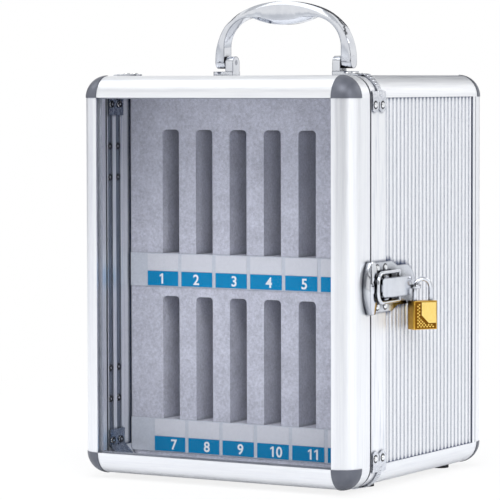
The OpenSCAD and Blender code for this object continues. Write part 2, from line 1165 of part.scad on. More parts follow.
module hinge_door_leaves()
{
    color(sheet_color)
        for (z = [hinge_inset, case_h - hinge_inset])
            hinge_at(z)
                door_leaf();
}

module hinge_pins()
{
    color(steel_color)
        for (z = [hinge_inset, case_h - hinge_inset])
            hinge_at(z)
                translate([hinge_x, hinge_y, 0]) {
                    cylinder(h = leaf_h + 1.2, r = hinge_pin_r, center = true);
                    for (j = [-1, 1])
                        translate([0, 0, j * (leaf_h / 2 + 0.4)])
                            cylinder(h = 0.8, r = hinge_pin_r + 0.7, center = true);
                }
}

module hinge_body_rivets()
{
    color(steel_color)
        at_case()
            hinge_body_spots()
                translate([0, 0, -leaf_t])
                    rivet(leaf_t + frame_t - channel_t, rivet_head, rivet_head_h, rivet_head_h);
}

module hinge_door_rivets()
{
    color(steel_color)
        at_case()
            hinge_door_spots()
                translate([0, 0, -leaf_t])
                    rivet(leaf_t + frame_t, rivet_head, rivet_head_h, rivet_head_h);
}

// ---- door

module left_stile_solid()
{
    difference() {
        along_z(edge_r, case_h - edge_r)
            door_section();
        hinge_door_spots()
            translate([0, 0, -over])
                cylinder(h = 10 * over, r = rivet_r + rivet_fit);
    }
}

module door_left_stile()
{
    color(frame_color)
        at_case()
            left_stile_solid();
}

module keeper_stud_spots()
{
    for (j = [-1, 1])
        translate([0, door_d - keeper_d / 2, j * stud_z])
            rotate([0, 90, 0])
                children();
}

module door_right_stile()
{
    color(frame_color)
        at_case()
            difference() {
                on_right()
                    along_z(edge_r, case_h - edge_r)
                        door_section();
                translate([case_w, 0, latch_z])
                    keeper_stud_spots()
                        translate([0, 0, -frame_t - over])
                            cylinder(h = frame_t + 2 * over, r = stud_r + rivet_fit);
            }
}

module door_bottom_solid()
{
    along_x(edge_r, case_w - edge_r)
        swapped()
            door_section();
}

module door_bottom_rail()
{
    color(frame_color)
        at_case()
            door_bottom_solid();
}

module door_top_rail()
{
    color(frame_color)
        at_case()
            on_top()
                door_bottom_solid();
}

module door_corner_sleeves()
{
    color(frame_color)
        at_case()
            four_corners()
                along_y(edge_r, door_d)
                    quarter_pipe(inner_r);
}

module door_corner_caps()
{
    color(cap_color)
        at_case()
            four_corners()
                corner_cap();
}

module pane_shape()
{
    translate([edge_r - pane_grip, edge_r])
        square([case_w - 2 * edge_r + 2 * pane_grip, case_h - 2 * edge_r]);
    translate([edge_r, edge_r - pane_grip])
        square([case_w - 2 * edge_r, case_h - 2 * edge_r + 2 * pane_grip]);
}

module window_pane()
{
    color([0.80, 0.88, 0.92, 0.3])
        at_case()
            along_y(lip_t, lip_t + pane_t)
                pane_shape();
}

module window_gasket()
{
    sight = edge_r + gasket_show;
    color(rubber_color)
        at_case()
            along_y(lip_t + pane_t, lip_t + pane_t + gasket_t)
                difference() {
                    pane_shape();
                    translate([sight, sight])
                        square([case_w - 2 * sight, case_h - 2 * sight]);
                }
}

// ---- latch

// outline of the base plate, drawn as (y, z)
module base_outline()
{
    y0 = ring_y0 + base_gap;
    y1 = y0 + base_len;
    tail_y = eye_y - 1.8;
    translate([y0, -base_half])
        square([base_len, 2 * base_half]);
    polygon([
        [y1, -base_half],
        [y1 + base_slope, -tail_half],
        [y1 + base_slope, tail_half],
        [y1, base_half]
    ]);
    translate([y1 + base_slope, -tail_half])
        square([tail_y - y1 - base_slope, 2 * tail_half]);
    translate([tail_y, 0])
        intersection() {
            circle(tail_half);
            translate([0, -tail_half])
                square([tail_half, 2 * tail_half]);
        }
}

module latch_base()
{
    color(steel_color)
        at_latch() {
            difference() {
                along_x(0, base_t)
                    base_outline();
                latch_rivet_spots()
                    cylinder(h = 20 * over, r = rivet_r + rivet_fit, center = true);
            }
            for (z = [-ear_out, ear_in])
                along_z(z, z + ear_t)
                    difference() {
                        union() {
                            translate([pivot_h, lever_y])
                                circle(ear_r);
                            translate([base_t - over, lever_y - ear_r])
                                square([pivot_h - base_t + over, 2 * ear_r]);
                        }
                        translate([pivot_h, lever_y])
                            circle(pivot_r + pin_seat);
                    }
            along_z(lug_low, lug_top)
                difference() {
                    union() {
                        translate([eye_h, eye_y])
                            circle(eye_lug);
                        translate([base_t - over, eye_y - 3])
                            square([eye_h - base_t + over, 6]);
                    }
                    translate([eye_h, eye_y])
                        circle(eye_hole);
                }
        }
}

module latch_rivets()
{
    color(steel_color)
        at_latch()
            latch_rivet_spots()
                translate([0, 0, -base_t])
                    rivet(base_t + frame_t - channel_t, base_rivet_head, 1, 0);
}

module lever_pins()
{
    color(steel_color)
        at_latch()
            for (j = [-1, 1])
                translate([pivot_h, lever_y, 0]) {
                    translate([0, 0, j * (lever_half - lever_t + ear_out) / 2])
                        cylinder(h = ear_out - lever_half + lever_t, r = pivot_r, center = true);
                    translate([0, 0, j * (ear_out + 0.2)])
                        cylinder(h = 0.4, r = pivot_r + 0.7, center = true);
                }
}

// side outline of the lever, drawn as (height, y)
module lever_side()
{
    polygon([
        [lever_low, lever_y],
        [lever_low, lever_y + fold_c],
        [lever_tail, lever_y + fold_c],
        [lever_top, lever_y + fold_b],
        [lever_top, lever_y + fold_a],
        [lever_nose, lever_y - nose_r],
        [pivot_h, lever_y - nose_r],
        [pivot_h, lever_y]
    ]);
    intersection() {
        translate([pivot_h, lever_y])
            circle(nose_r);
        translate([lever_low, lever_y - nose_r])
            square(nose_r);
    }
}

module lever_hollow()
{
    slope = (lever_top - lever_nose) / (fold_a + nose_r);
    polygon([
        [lever_low - over, lever_y - nose_r - over],
        [lever_low - over, lever_y + fold_c + over],
        [lever_tail - lever_t, lever_y + fold_c + over],
        [lever_top - lever_t, lever_y + fold_b],
        [lever_top - lever_t, lever_y + fold_a],
        [lever_nose - lever_t - slope * over, lever_y - nose_r - over]
    ]);
}

module latch_lever()
{
    rear = lever_y + fold_c;
    length = fold_c + nose_r;
    color(steel_color)
        at_latch() {
            intersection() {
                difference() {
                    along_z(-lever_half, lever_half)
                        lever_side();
                    along_z(-lever_half + lever_t, lever_half - lever_t)
                        lever_hollow();
                    translate([pivot_h, lever_y, -2 * lever_half])
                        cylinder(h = 4 * lever_half, r = pivot_r + pivot_fit);
                    translate([bail_low, bail_y, -2 * lever_half])
                        cylinder(h = 4 * lever_half, r = bail_r + bail_fit);
                }
                along_x(0, 2 * lever_top)
                    translate([rear - length / 2, 0])
                        soft_rect(length, 2 * lever_half, lever_corner);
            }
            difference() {
                union() {
                    translate([lever_low, rear - 6, -lever_half + lever_t / 2])
                        cube([lever_t, 5, 2 * lever_half - lever_t]);
                    translate([lever_low, rear - 2, -tongue_half])
                        cube([lever_t, tongue_len + 2, 2 * tongue_half]);
                }
                translate([lever_low - over, rear - 0.1, lug_low - tongue_gap])
                    cube([lever_t + 2 * over, tongue_len + over, lug_t + 2 * tongue_gap]);
            }
        }
}

// quarter or half bow of wire about the x axis
module bow(path_r, wire_r, a0, a)
{
    rotate([0, 90, 0])
        rotate([0, 0, a0])
            rotate_extrude(angle = a)
                translate([path_r, 0])
                    circle(wire_r);
}

module latch_bail()
{
    straight = bail_len - bail_corner;
    color(steel_color)
        at_latch()
            translate([bail_low, bail_y, 0])
                rotate([0, 0, bail_tilt]) {
                    for (j = [-1, 1]) {
                        translate([0, 0, j * bail_half])
                            rotate([90, 0, 0])
                                cylinder(h = straight, r = bail_r);
                        translate([0, 0, j * bail_half])
                            sphere(bail_r);
                        translate([0, 0, j * (bail_half + lever_half - lever_t - 0.3) / 2])
                            cylinder(h = bail_half - lever_half + lever_t + 0.3, r = bail_r, center = true);
                    }
                    translate([0, -straight, bail_half - bail_corner])
                        bow(bail_corner, bail_r, 180, 90);
                    translate([0, -straight, bail_corner - bail_half])
                        bow(bail_corner, bail_r, 270, 90);
                    translate([0, -bail_len, 0])
                        cylinder(h = 2 * (bail_half - bail_corner), r = bail_r, center = true);
                }
}

module keeper()
{
    rear = door_d - 0.2;
    color(steel_color)
        at_latch() {
            intersection() {
                along_x(0, 2 * keeper_h)
                    translate([keeper_front + keeper_plan, 0])
                        circle(keeper_plan, $fn = 360);
                along_y(keeper_front - over, rear + over)
                    translate([keeper_h - keeper_dome, 0])
                        circle(keeper_dome, $fn = 360);
                translate([0, keeper_front - over, -keeper_half])
                    cube([2 * keeper_h, keeper_d + over, 2 * keeper_half]);
            }
            translate([keeper_h - 2, rear - hook_t, -hook_half])
                cube([hook_h - keeper_h + 2, hook_t, 2 * hook_half]);
            keeper_stud_spots()
                translate([0, 0, -frame_t])
                    cylinder(h = frame_t + over, r = stud_r);
        }
}

// ---- padlock, drawn with the shackle's first leg on the z axis

module padlock_body()
{
    bottom = -lock_top - lock_h;
    color([0.88, 0.70, 0.25])
        at_padlock()
            difference() {
                along_z(bottom, -lock_top)
                    translate([0, leg_gap / 2])
                        soft_rect(lock_t, lock_w, lock_corner);
                translate([0, 0, -lock_top - short_leg - 0.5])
                    cylinder(h = short_leg + over, r = shackle_r + leg_fit);
                translate([0, leg_gap, -lock_top - long_leg - 0.5])
                    cylinder(h = long_leg + over, r = shackle_r + leg_fit);
                translate([0, leg_gap / 2, bottom - over])
                    cylinder(h = plug_len + over, r = plug_r + plug_fit);
            }
}

module padlock_shackle()
{
    color([0.82, 0.83, 0.86])
        at_padlock() {
            translate([0, 0, -lock_top - short_leg])
                cylinder(h = lock_top + short_leg + bow_z, r = shackle_r);
            translate([0, leg_gap, -lock_top - long_leg])
                cylinder(h = lock_top + long_leg + bow_z, r = shackle_r);
            translate([0, leg_gap / 2, bow_z])
                bow(leg_gap / 2, shackle_r, 90, 180);
        }
}

module padlock_plug()
{
    bottom = -lock_top - lock_h;
    color([0.75, 0.60, 0.25])
        at_padlock()
            translate([0, leg_gap / 2, bottom])
                difference() {
                    cylinder(h = plug_len, r = plug_r);
                    translate([-key_w / 2, -key_len / 2, -over])
                        cube([key_w, key_len, key_deep + over]);
                }
}

// ---- handle, drawn about the middle of the case's top

module at_handle()
{
    at_case()
        translate([case_w / 2, handle_y, case_h])
            children();
}

// disc about the y axis at height z, with edges bevelled at 45 degrees
module bevelled_disc(z, r, bevel)
{
    translate([0, 0, z])
        rotate([90, 0, 0])
            rotate_extrude($fn = 360)
                polygon([
                    [0, -grip_half],
                    [r - bevel, -grip_half],
                    [r, bevel - grip_half],
                    [r, grip_half - bevel],
                    [r - bevel, grip_half],
                    [0, grip_half]
                ]);
}

// outer outline of the handle above its pivots, drawn as (x, z)
module handle_outline()
{
    intersection() {
        translate([0, arch_z])
            circle(arch_r, $fn = 360);
        translate([-shoulder_join, shoulder_z])
            square([2 * shoulder_join, handle_top]);
    }
    intersection() {
        union() {
            for (i = [-1, 1])
                translate([i * shoulder_x, shoulder_z])
                    circle(shoulder_r, $fn = 360);
        }
        translate([-handle_half, shoulder_z - over])
            square([2 * handle_half, handle_top]);
    }
    translate([-handle_half, handle_pivot])
        square([2 * handle_half, shoulder_z - handle_pivot]);
}

// finger opening under the grip, drawn as (x, z)
module handle_opening()
{
    translate([-leg_in, handle_pivot - over])
        square([2 * leg_in, notch_z - handle_pivot + over]);
    for (i = [-1, 1])
        translate([i * notch_x, notch_z])
            circle(notch_r, $fn = 256);
    translate([-notch_x, notch_z - over])
        square([2 * notch_x, notch_r + over]);
}

module handle_grip()
{
    color([0.80, 0.82, 0.86])
        at_handle()
            difference() {
                union() {
                    intersection() {
                        along_y(-grip_half, grip_half)
                            handle_outline();
                        bevelled_disc(bevel_top - bevel_r, bevel_r + bevel_d, bevel_d);
                        along_z(0, 2 * handle_top)
                            intersection() {
                                translate([0, grip_half - barrel_big])
                                    circle(barrel_big, $fn = 720);
                                translate([0, barrel_big - grip_half])
                                    circle(barrel_big, $fn = 720);
                            }
                    }
                    for (x = [-handle_half, leg_in])
                        translate([x, 0, handle_pivot])
                            rotate([0, 90, 0])
                                cylinder(h = leg_w, r = leg_half);
                }
                difference() {
                    along_y(-2 * grip_half, 2 * grip_half)
                        handle_opening();
                    bevelled_disc(grip_low + grip_r, grip_r, bevel_low);
                }
                for (x = [-leg_in - pin_deep - 0.3, leg_in - over])
                    translate([x, 0, handle_pivot])
                        rotate([0, 90, 0])
                            cylinder(h = pin_deep + 0.3 + over, r = handle_pin_r + handle_fit);
            }
}

module bracket()
{
    difference() {
        union() {
            along_z(-panel_recess, plate_top)
                translate([-handle_half - plate_out, -plate_half])
                    square([handle_half + plate_out - upright_out + upright_w, 2 * plate_half]);
            along_x(-upright_out, -upright_out + upright_w) {
                translate([-upright_half, 0])
                    square([2 * upright_half, upright_top - upright_half]);
                translate([0, upright_top - upright_half])
                    circle(upright_half);
            }
        }
        translate([-handle_half, 0, handle_pivot])
            rotate([0, 90, 0])
                cylinder(h = leg_w + upright_w, r = handle_pin_r + pin_seat);
        for (j = [-1, 1])
            translate([-screw_x, j * screw_y, 0]) {
                translate([0, 0, -2 * over])
                    cylinder(h = 4 * over, r = screw_r + rivet_fit);
                translate([0, 0, plate_top - 1.5])
                    cylinder(h = 4 * over, r = screw_head + rivet_fit);
                translate([0, 0, -over])
                    cylinder(h = plate_top, r = screw_r + rivet_fit);
            }
    }
}

module left_bracket()
{
    color(steel_color)
        at_handle()
            bracket();
}

module right_bracket()
{
    color(steel_color)
        at_handle()
            mirror([1, 0, 0])
                bracket();
}

module bracket_screws()
{
    color(steel_color)
        at_case()
            screw_spots() {
                difference() {
                    translate([0, 0, plate_top - 1.5])
                        cylinder(h = 1.4, r = screw_head);
                    translate([-screw_head, -0.4, plate_top - 0.7])
                        cube([2 * screw_head, 0.8, over]);
                }
                translate([0, 0, -panel_recess - panel_t - 1])
                    cylinder(h = panel_recess + panel_t + plate_top, r = screw_r);
            }
}

module handle_pins()
{
    color(steel_color)
        at_handle()
            for (i = [-1, 1])
                translate([i * (leg_in + pin_deep - (upright_w + pin_deep) / 2), 0, handle_pivot])
                    rotate([0, 90, 0])
                        cylinder(h = upright_w + pin_deep, r = handle_pin_r, center = true);
}

// ---- rack of slots

// outline of the rack inside the frame, drawn as (x, z)
module rack_outline()
{
    translate([case_w / 2, case_h / 2])
        soft_rect(case_w - 2 * frame_t, case_h - 2 * frame_t, inner_r);
}

// space behind the skin; the part between the rounded rear edges is narrower
module rack_space()
{
    along_y(rack_y + skin_t, back_y)
        rack_outline();
    along_y(back_y, board_y)
        translate([edge_r, edge_r])
            square([case_w - 2 * edge_r, case_h - 2 * edge_r]);
}

module rack_layer(z0, z1)
{
    intersection() {
        rack_space();
        translate([0, rack_y, z0])
            cube([case_w, case_d, z1 - z0]);
    }
}

module rack_dividers(z0)
{
    intersection() {
        rack_space();
        for (i = [0 : slots]) {
            left = i == 0 ? 0 : slot_first + (i - 1) * slot_pitch + slot_w / 2;
            right = i == slots ? case_w : slot_first + i * slot_pitch - slot_w / 2;
            translate([left, rack_y, z0])
                cube([right - left, case_d, slot_h]);
        }
    }
}

module slot_shape()
{
    translate([-slot_w / 2, 0])
        square([slot_w, slot_h - slot_corner]);
    translate([slot_corner - slot_w / 2, 0])
        square([slot_w - 2 * slot_corner, slot_h]);
    for (i = [-1, 1])
        translate([i * (slot_w / 2 - slot_corner), slot_h - slot_corner])
            circle(slot_corner);
}

module rack_skin()
{
    color(felt_color)
        at_case()
            along_y(rack_y, rack_y + skin_t)
                difference() {
                    rack_outline();
                    for (z = [row_low, row_high])
                        for (i = [0 : slots - 1])
                            translate([slot_first + i * slot_pitch, z])
                                slot_shape();
                }
}

module rack_top_block()
{
    color(felt_color)
        at_case()
            rack_layer(row_high_top, case_h);
}

module rack_shelf()
{
    color(felt_color)
        at_case()
            rack_layer(row_low_top, row_high);
}

module rack_base_block()
{
    color(felt_color)
        at_case()
            rack_layer(0, row_low);
}

module upper_dividers()
{
    color(felt_color)
        at_case()
            rack_dividers(row_high);
}

module lower_dividers()
{
    color(felt_color)
        at_case()
            rack_dividers(row_low);
}

module rack_back_board()
{
    color(felt_color)
        at_case()
            along_y(board_y, rack_back)
                translate([edge_r, edge_r])
                    square([case_w - 2 * edge_r, case_h - 2 * edge_r]);
}

module label_strips()
{
    color([0.20, 0.50, 0.75])
        at_case()
            along_y(rack_y - strip_t, rack_y)
                intersection() {
                    rack_outline();
                    for (z = [row_low, row_high])
                        translate([0, z - strip_h])
                            square([case_w, strip_h]);
                }
}

ring_left_post();
ring_right_post();
ring_top_bar();
ring_bottom_bar();
top_left_rail();
top_right_rail();
bottom_left_rail();
bottom_right_rail();
rear_left_post();
rear_right_post();
rear_top_rail();
rear_bottom_rail();
rear_corner_caps();
left_panel();
right_panel();
top_panel();
bottom_panel();
rear_panel();
corner_clamps();
clamp_rivets();
inner_corner_braces();
door_seal();
feet();
foot_screws();
hinge_body_leaves();
hinge_pins();
hinge_body_rivets();
latch_base();
latch_rivets();
lever_pins();
left_bracket();
right_bracket();
bracket_screws();
handle_pins();
rack_skin();
rack_top_block();
rack_shelf();
rack_base_block();
upper_dividers();
lower_dividers();
rack_back_board();
label_strips();
door_left_stile();
door_right_stile();
door_top_rail();
door_bottom_rail();
door_corner_sleeves();
door_corner_caps();
window_pane();
window_gasket();
hinge_door_leaves();
hinge_door_rivets();
keeper();
handle_grip();
latch_lever();
latch_bail();
padlock_body();
padlock_shackle();
padlock_plug();
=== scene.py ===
"""Tabletop locker: aluminium case, window door, numbered rack, folding handle, padlocked latch."""
import math

import bmesh
import bpy
from mathutils import Matrix, Vector


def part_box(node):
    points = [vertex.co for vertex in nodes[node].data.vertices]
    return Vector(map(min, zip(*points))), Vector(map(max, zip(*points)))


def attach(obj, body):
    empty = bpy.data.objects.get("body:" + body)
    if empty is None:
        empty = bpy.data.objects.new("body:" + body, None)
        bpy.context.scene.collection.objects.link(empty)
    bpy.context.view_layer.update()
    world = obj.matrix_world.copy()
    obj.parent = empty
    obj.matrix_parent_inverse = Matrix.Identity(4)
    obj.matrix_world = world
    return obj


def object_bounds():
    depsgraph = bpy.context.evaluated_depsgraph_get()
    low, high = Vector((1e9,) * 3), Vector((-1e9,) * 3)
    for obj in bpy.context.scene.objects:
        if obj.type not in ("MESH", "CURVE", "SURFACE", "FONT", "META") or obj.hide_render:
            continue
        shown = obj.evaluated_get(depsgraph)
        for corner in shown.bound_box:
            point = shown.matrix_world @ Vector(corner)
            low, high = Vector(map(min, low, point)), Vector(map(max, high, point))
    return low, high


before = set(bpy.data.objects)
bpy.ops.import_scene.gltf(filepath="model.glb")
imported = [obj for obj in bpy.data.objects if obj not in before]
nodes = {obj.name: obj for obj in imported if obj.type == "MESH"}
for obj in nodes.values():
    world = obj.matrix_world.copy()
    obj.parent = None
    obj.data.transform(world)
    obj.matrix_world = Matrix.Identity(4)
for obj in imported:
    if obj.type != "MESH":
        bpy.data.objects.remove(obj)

cad_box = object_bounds()

# ---- Case frame -------------------------------------------------------------
# Extruded aluminium sections with a satin anodised face: ring posts and bars,
# rounded rails and rear posts. They are cut square and held by the corner pieces.
MIX_FACTOR, MIX_A, MIX_B, MIX_OUT = 0, 6, 7, 2    # a Mix node's sockets for colours
DIE_LINES = {"x": (1.5, 60.0, 60.0), "y": (60.0, 1.5, 60.0), "z": (60.0, 60.0, 1.5)}


def blank_material(name):
    """An empty node material; returns the material, its tree and its Principled shader."""
    mat = bpy.data.materials.new(name)
    mat.use_nodes = True
    tree = mat.node_tree
    return mat, tree, tree.nodes["Principled BSDF"]


def grain(tree, stretch, scale, detail=4.0, roughness=0.6):
    """Noise on the object's own metres, stretched along the axes by three factors."""
    coords = tree.nodes.new("ShaderNodeTexCoord")
    mapping = tree.nodes.new("ShaderNodeMapping")
    mapping.inputs["Scale"].default_value = stretch
    noise = tree.nodes.new("ShaderNodeTexNoise")
    noise.inputs["Scale"].default_value = scale
    noise.inputs["Detail"].default_value = detail
    noise.inputs["Roughness"].default_value = roughness
    tree.links.new(coords.outputs["Object"], mapping.inputs["Vector"])
    tree.links.new(mapping.outputs["Vector"], noise.inputs["Vector"])
    return noise.outputs["Fac"]


def tone(tree, source, low, high, socket, start=0.3, end=0.7):
    """Maps a 0 to 1 output onto two colours, feeds them to a socket and returns them."""
    ramp = tree.nodes.new("ShaderNodeValToRGB")
    for stop, place, colour in zip(ramp.color_ramp.elements, (start, end), (low, high)):
        stop.position = place
        stop.color = (*colour, 1)
    tree.links.new(source, ramp.inputs["Fac"])
    tree.links.new(ramp.outputs["Color"], socket)
    return ramp.outputs["Color"]


def level(tree, source, low, high, socket, start=0.25, end=0.75):
    """Maps a 0 to 1 output onto a range of numbers and feeds it to a socket."""
    span = tree.nodes.new("ShaderNodeMapRange")
    span.inputs["From Min"].default_value = start
    span.inputs["From Max"].default_value = end
    span.inputs["To Min"].default_value = low
    span.inputs["To Max"].default_value = high
    tree.links.new(source, span.inputs["Value"])
    tree.links.new(span.outputs["Result"], socket)


def relief(tree, source, height, strength, shader):
    """Bump from a 0 to 1 output, with the height in metres."""
    bump = tree.nodes.new("ShaderNodeBump")
    bump.inputs["Distance"].default_value = height
    bump.inputs["Strength"].default_value = strength
    tree.links.new(source, bump.inputs["Height"])
    tree.links.new(bump.outputs["Normal"], shader.inputs["Normal"])


def crease(tree, source, shade, reach, socket, deep=0.45, open_at=0.92, inside=False):
    """Paints shade into a colour: darkens it towards a dark shade where another surface is within
    reach, or, inside the metal, where the piece's own edge is; returns the new colour."""
    near = tree.nodes.new("ShaderNodeAmbientOcclusion")
    near.samples = 6
    near.inside = inside
    near.inputs["Distance"].default_value = reach
    mixed = tree.nodes.new("ShaderNodeMix")
    mixed.data_type = "RGBA"
    mixed.inputs[MIX_B].default_value = (*shade, 1)
    level(tree, near.outputs["AO"], 1.0, 0.0, mixed.inputs[MIX_FACTOR], deep, open_at)
    tree.links.new(source, mixed.inputs[MIX_A])
    tree.links.new(mixed.outputs[MIX_OUT], socket)
    return mixed.outputs[MIX_OUT]


def dress(mat, *names):
    """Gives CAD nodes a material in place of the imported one."""
    for name in names:
        mesh = nodes[name].data
        mesh.materials.clear()
        mesh.materials.append(mat)


def anodised(name, axis, streak, start=0.25, end=0.6):
    """Satin aluminium with die lines running along one axis, as dark as streak, and painted shade
    near its seams.
    """
    mat, tree, shader = blank_material(name)
    colour = shader.inputs["Base Color"]
    lines = grain(tree, DIE_LINES[axis], 12.0, detail=5.0, roughness=0.7)
    skin = tone(tree, lines, streak, (0.88, 0.89, 0.91), colour, start, end)
    crease(tree, skin, (0.22, 0.24, 0.30), 0.0020, colour, 0.5, 0.95)
    level(tree, lines, 0.28, 0.40, shader.inputs["Roughness"])
    relief(tree, lines, 0.00003, 0.3, shader)
    shader.inputs["Metallic"].default_value = 0.85
    return mat


along_x, along_y, along_z = (anodised(f"satin_anodised_{axis}", axis, (0.79, 0.80, 0.84))
                             for axis in "xyz")
fluted = anodised("fluted_anodised", "z", (0.60, 0.63, 0.71), 0.34, 0.48)
dress(fluted, "ring_left_post", "ring_right_post")
dress(along_z, "rear_left_post", "rear_right_post")
dress(along_x, "ring_top_bar", "ring_bottom_bar", "rear_top_rail", "rear_bottom_rail")
dress(along_y, "top_left_rail", "top_right_rail", "bottom_left_rail", "bottom_right_rail")

# ---- Panels -----------------------------------------------------------------
# Ribbed silver laminate on the sides and the rear, the same laminate smooth on
# the top and bottom. Each sheet sits in the grooves of the frame around it.


def laminate():
    """Silver laminate, pale on the ribs, with painted shade down in the grooves."""
    mat, tree, shader = blank_material("silver_laminate")
    colour = shader.inputs["Base Color"]
    lines = grain(tree, (50.0, 50.0, 2.0), 30.0)
    skin = tone(tree, lines, (0.82, 0.83, 0.86), (0.90, 0.91, 0.93), colour)
    # Painted shade down in the grooves between the ribs.
    crease(tree, skin, (0.05, 0.07, 0.14), 0.0042, colour, 0.64, 0.96)
    level(tree, lines, 0.34, 0.46, shader.inputs["Roughness"])
    relief(tree, lines, 0.00002, 0.2, shader)
    shader.inputs["Metallic"].default_value = 0.7
    return mat


dress(laminate(), "left_panel", "right_panel", "rear_panel", "top_panel", "bottom_panel")

# ---- Corner caps ------------------------------------------------------------
# Moulded grey ball corners, four on the door and four at the rear. Each is pushed
# over the square-cut ends of the three rounded edges that meet there.
EVEN = (1.0, 1.0, 1.0)


def cap_plastic():
    """Grey moulded plastic with a metallic fleck, a fine orange peel and painted shade where other
    pieces come close.
    """
    mat, tree, shader = blank_material("grey_cap")
    colour = shader.inputs["Base Color"]
    orange_peel = grain(tree, EVEN, 900.0, detail=2.0)
    cloud = grain(tree, EVEN, 90.0)
    body = tone(tree, cloud, (0.105, 0.112, 0.138), (0.145, 0.153, 0.182), colour)
    crease(tree, body, (0.02, 0.022, 0.03), 0.0012, colour)
    level(tree, cloud, 0.36, 0.46, shader.inputs["Roughness"])
    relief(tree, orange_peel, 0.00003, 0.3, shader)
    shader.inputs["Metallic"].default_value = 0.5
    return mat


dress(cap_plastic(), "door_corner_caps", "rear_corner_caps")

# ---- Corner clamps and braces -----------------------------------------------
# Zinc-plated sheet clamps riveted over the ring's corners, with a beaded strap
# around each rounded edge, and bent braces on the same rivets inside.
EDGE_R = 0.0153          # outside radius of the case's long edges
SHEET_T = 0.0012
STRAP_FROM = 0.0382      # front and back of the strap, from the case's front
STRAP_TO = 0.0422
BEADS = 9                # half-round beads across each strap
BEAD_FIRST = 6           # turn of the first bead and the arc they fill, in degrees
BEAD_ARC = 78
BEAD_HALF = 0.00055
BEAD_RISE = 0.0005
BEAD_RUNOUT = 0.0004     # length over which a bead dies into the strap at each end
BEAD_SINK = 0.00005
BEAD_FACETS = 4
case_low = Vector((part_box("ring_left_post")[0].x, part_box("door_bottom_rail")[0].y,
                   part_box("ring_bottom_bar")[0].z))
case_high = Vector((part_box("ring_right_post")[1].x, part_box("rear_right_post")[1].y,
                    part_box("ring_top_bar")[1].z))


def zinc_plate(name, low, high):
    """Zinc-plated sheet steel with a fine spangle and painted shade in its corners."""
    mat, tree, shader = blank_material(name)
    colour = shader.inputs["Base Color"]
    spangle = grain(tree, EVEN, 420.0)
    plate = tone(tree, spangle, low, high, colour)
    crease(tree, plate, (0.035, 0.038, 0.05), 0.0020, colour, 0.4, 0.9)
    level(tree, spangle, 0.20, 0.34, shader.inputs["Roughness"])
    relief(tree, spangle, 0.00003, 0.3, shader)
    shader.inputs["Metallic"].default_value = 1.0
    return mat


def finish_mesh(name, mesh, mats, body):
    """Turns a bmesh into a piece that rides on a body and takes its finish from a slot."""
    bmesh.ops.recalc_face_normals(mesh, faces=mesh.faces)
    data = bpy.data.meshes.new(name)
    mesh.to_mesh(data)
    mesh.free()
    for mat in mats:
        data.materials.append(mat)
    piece = bpy.data.objects.new(name, data)
    bpy.context.scene.collection.objects.link(piece)
    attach(piece, body)


def bead(mesh, centre, turn):
    """A half-round bead pressed across the strap at one turn around the edge."""
    out = Vector((math.cos(turn), 0, math.sin(turn)))
    along = Vector((-math.sin(turn), 0, math.cos(turn)))
    rings = []
    for y in (STRAP_FROM, STRAP_FROM + BEAD_RUNOUT, STRAP_TO - BEAD_RUNOUT, STRAP_TO):
        rise = BEAD_RISE if STRAP_FROM < y < STRAP_TO else 0.0
        ring = []
        for k in range(BEAD_FACETS + 1):
            arc = math.pi * k / BEAD_FACETS
            point = centre + out * (EDGE_R + SHEET_T - BEAD_SINK + rise * math.sin(arc))
            point += along * (BEAD_HALF * math.cos(arc))
            ring.append(mesh.verts.new((point.x, case_low.y + y, point.z)))
        rings.append(ring)
    for near, far in zip(rings, rings[1:]):
        for k in range(BEAD_FACETS):
            mesh.faces.new((near[k], near[k + 1], far[k + 1], far[k]))


zinc = zinc_plate("zinc_plated_sheet", (0.58, 0.60, 0.66), (0.76, 0.78, 0.82))
# The braces inside take the same zinc plate in a darker tone.
darker_zinc = zinc_plate("darker_zinc_brace", (0.16, 0.19, 0.25), (0.34, 0.38, 0.46))
dress(zinc, "corner_clamps")
dress(darker_zinc, "inner_corner_braces")

beads = bmesh.new()
for side, x in ((-1, case_low.x + EDGE_R), (1, case_high.x - EDGE_R)):
    for up, z in ((-1, case_low.z + EDGE_R), (1, case_high.z - EDGE_R)):
        for i in range(BEADS):
            quarter = math.radians(BEAD_FIRST + BEAD_ARC * i / (BEADS - 1))
            turn = math.atan2(up * math.sin(quarter), side * math.cos(quarter))
            bead(beads, Vector((x, 0, z)), turn)
finish_mesh("strap_beads", beads, (zinc,), "case")

# ---- Rivets -----------------------------------------------------------------
# Bright plated steel rivets that hold the clamps, the hinges and the latch. Black rings of painted
# shade lie around their heads, and around the tails of those in the ring that show inside.
HEAD_R = 0.0021          # heads on the clamps and hinges
HEAD_H = 0.0009
LATCH_HEAD_R = 0.0022    # heads on the latch's base
LATCH_HEAD_H = 0.001
SHADE_RING_LAP = 0.0001       # how far a ring reaches in under its head
SHADE_RING_W = 0.0008         # how far it stands out from the head
LATCH_SHADE_RING_W = 0.0007
SHADE_RING_H = 0.00018
TAIL_BORE = 0.0008
TAIL_SHADE_RING_W = 0.0004
TAIL_SHADE_RING_H = 0.00014
TAIL_LIFT = 0.00002
SHADE_RING_SIDES = 20
WELD_GAP = 0.00001       # vertices closer than this are one


def bright_steel():
    """Bright plated steel, with painted shade where it meets another piece."""
    mat, tree, shader = blank_material("bright_rivet_steel")
    colour = shader.inputs["Base Color"]
    turned = grain(tree, EVEN, 600.0)
    polish = tone(tree, turned, (0.80, 0.81, 0.83), (0.92, 0.93, 0.94), colour)
    crease(tree, polish, (0.05, 0.05, 0.06), 0.0008, colour)
    level(tree, turned, 0.15, 0.28, shader.inputs["Roughness"])
    relief(tree, turned, 0.00002, 0.2, shader)
    shader.inputs["Metallic"].default_value = 1.0
    return mat


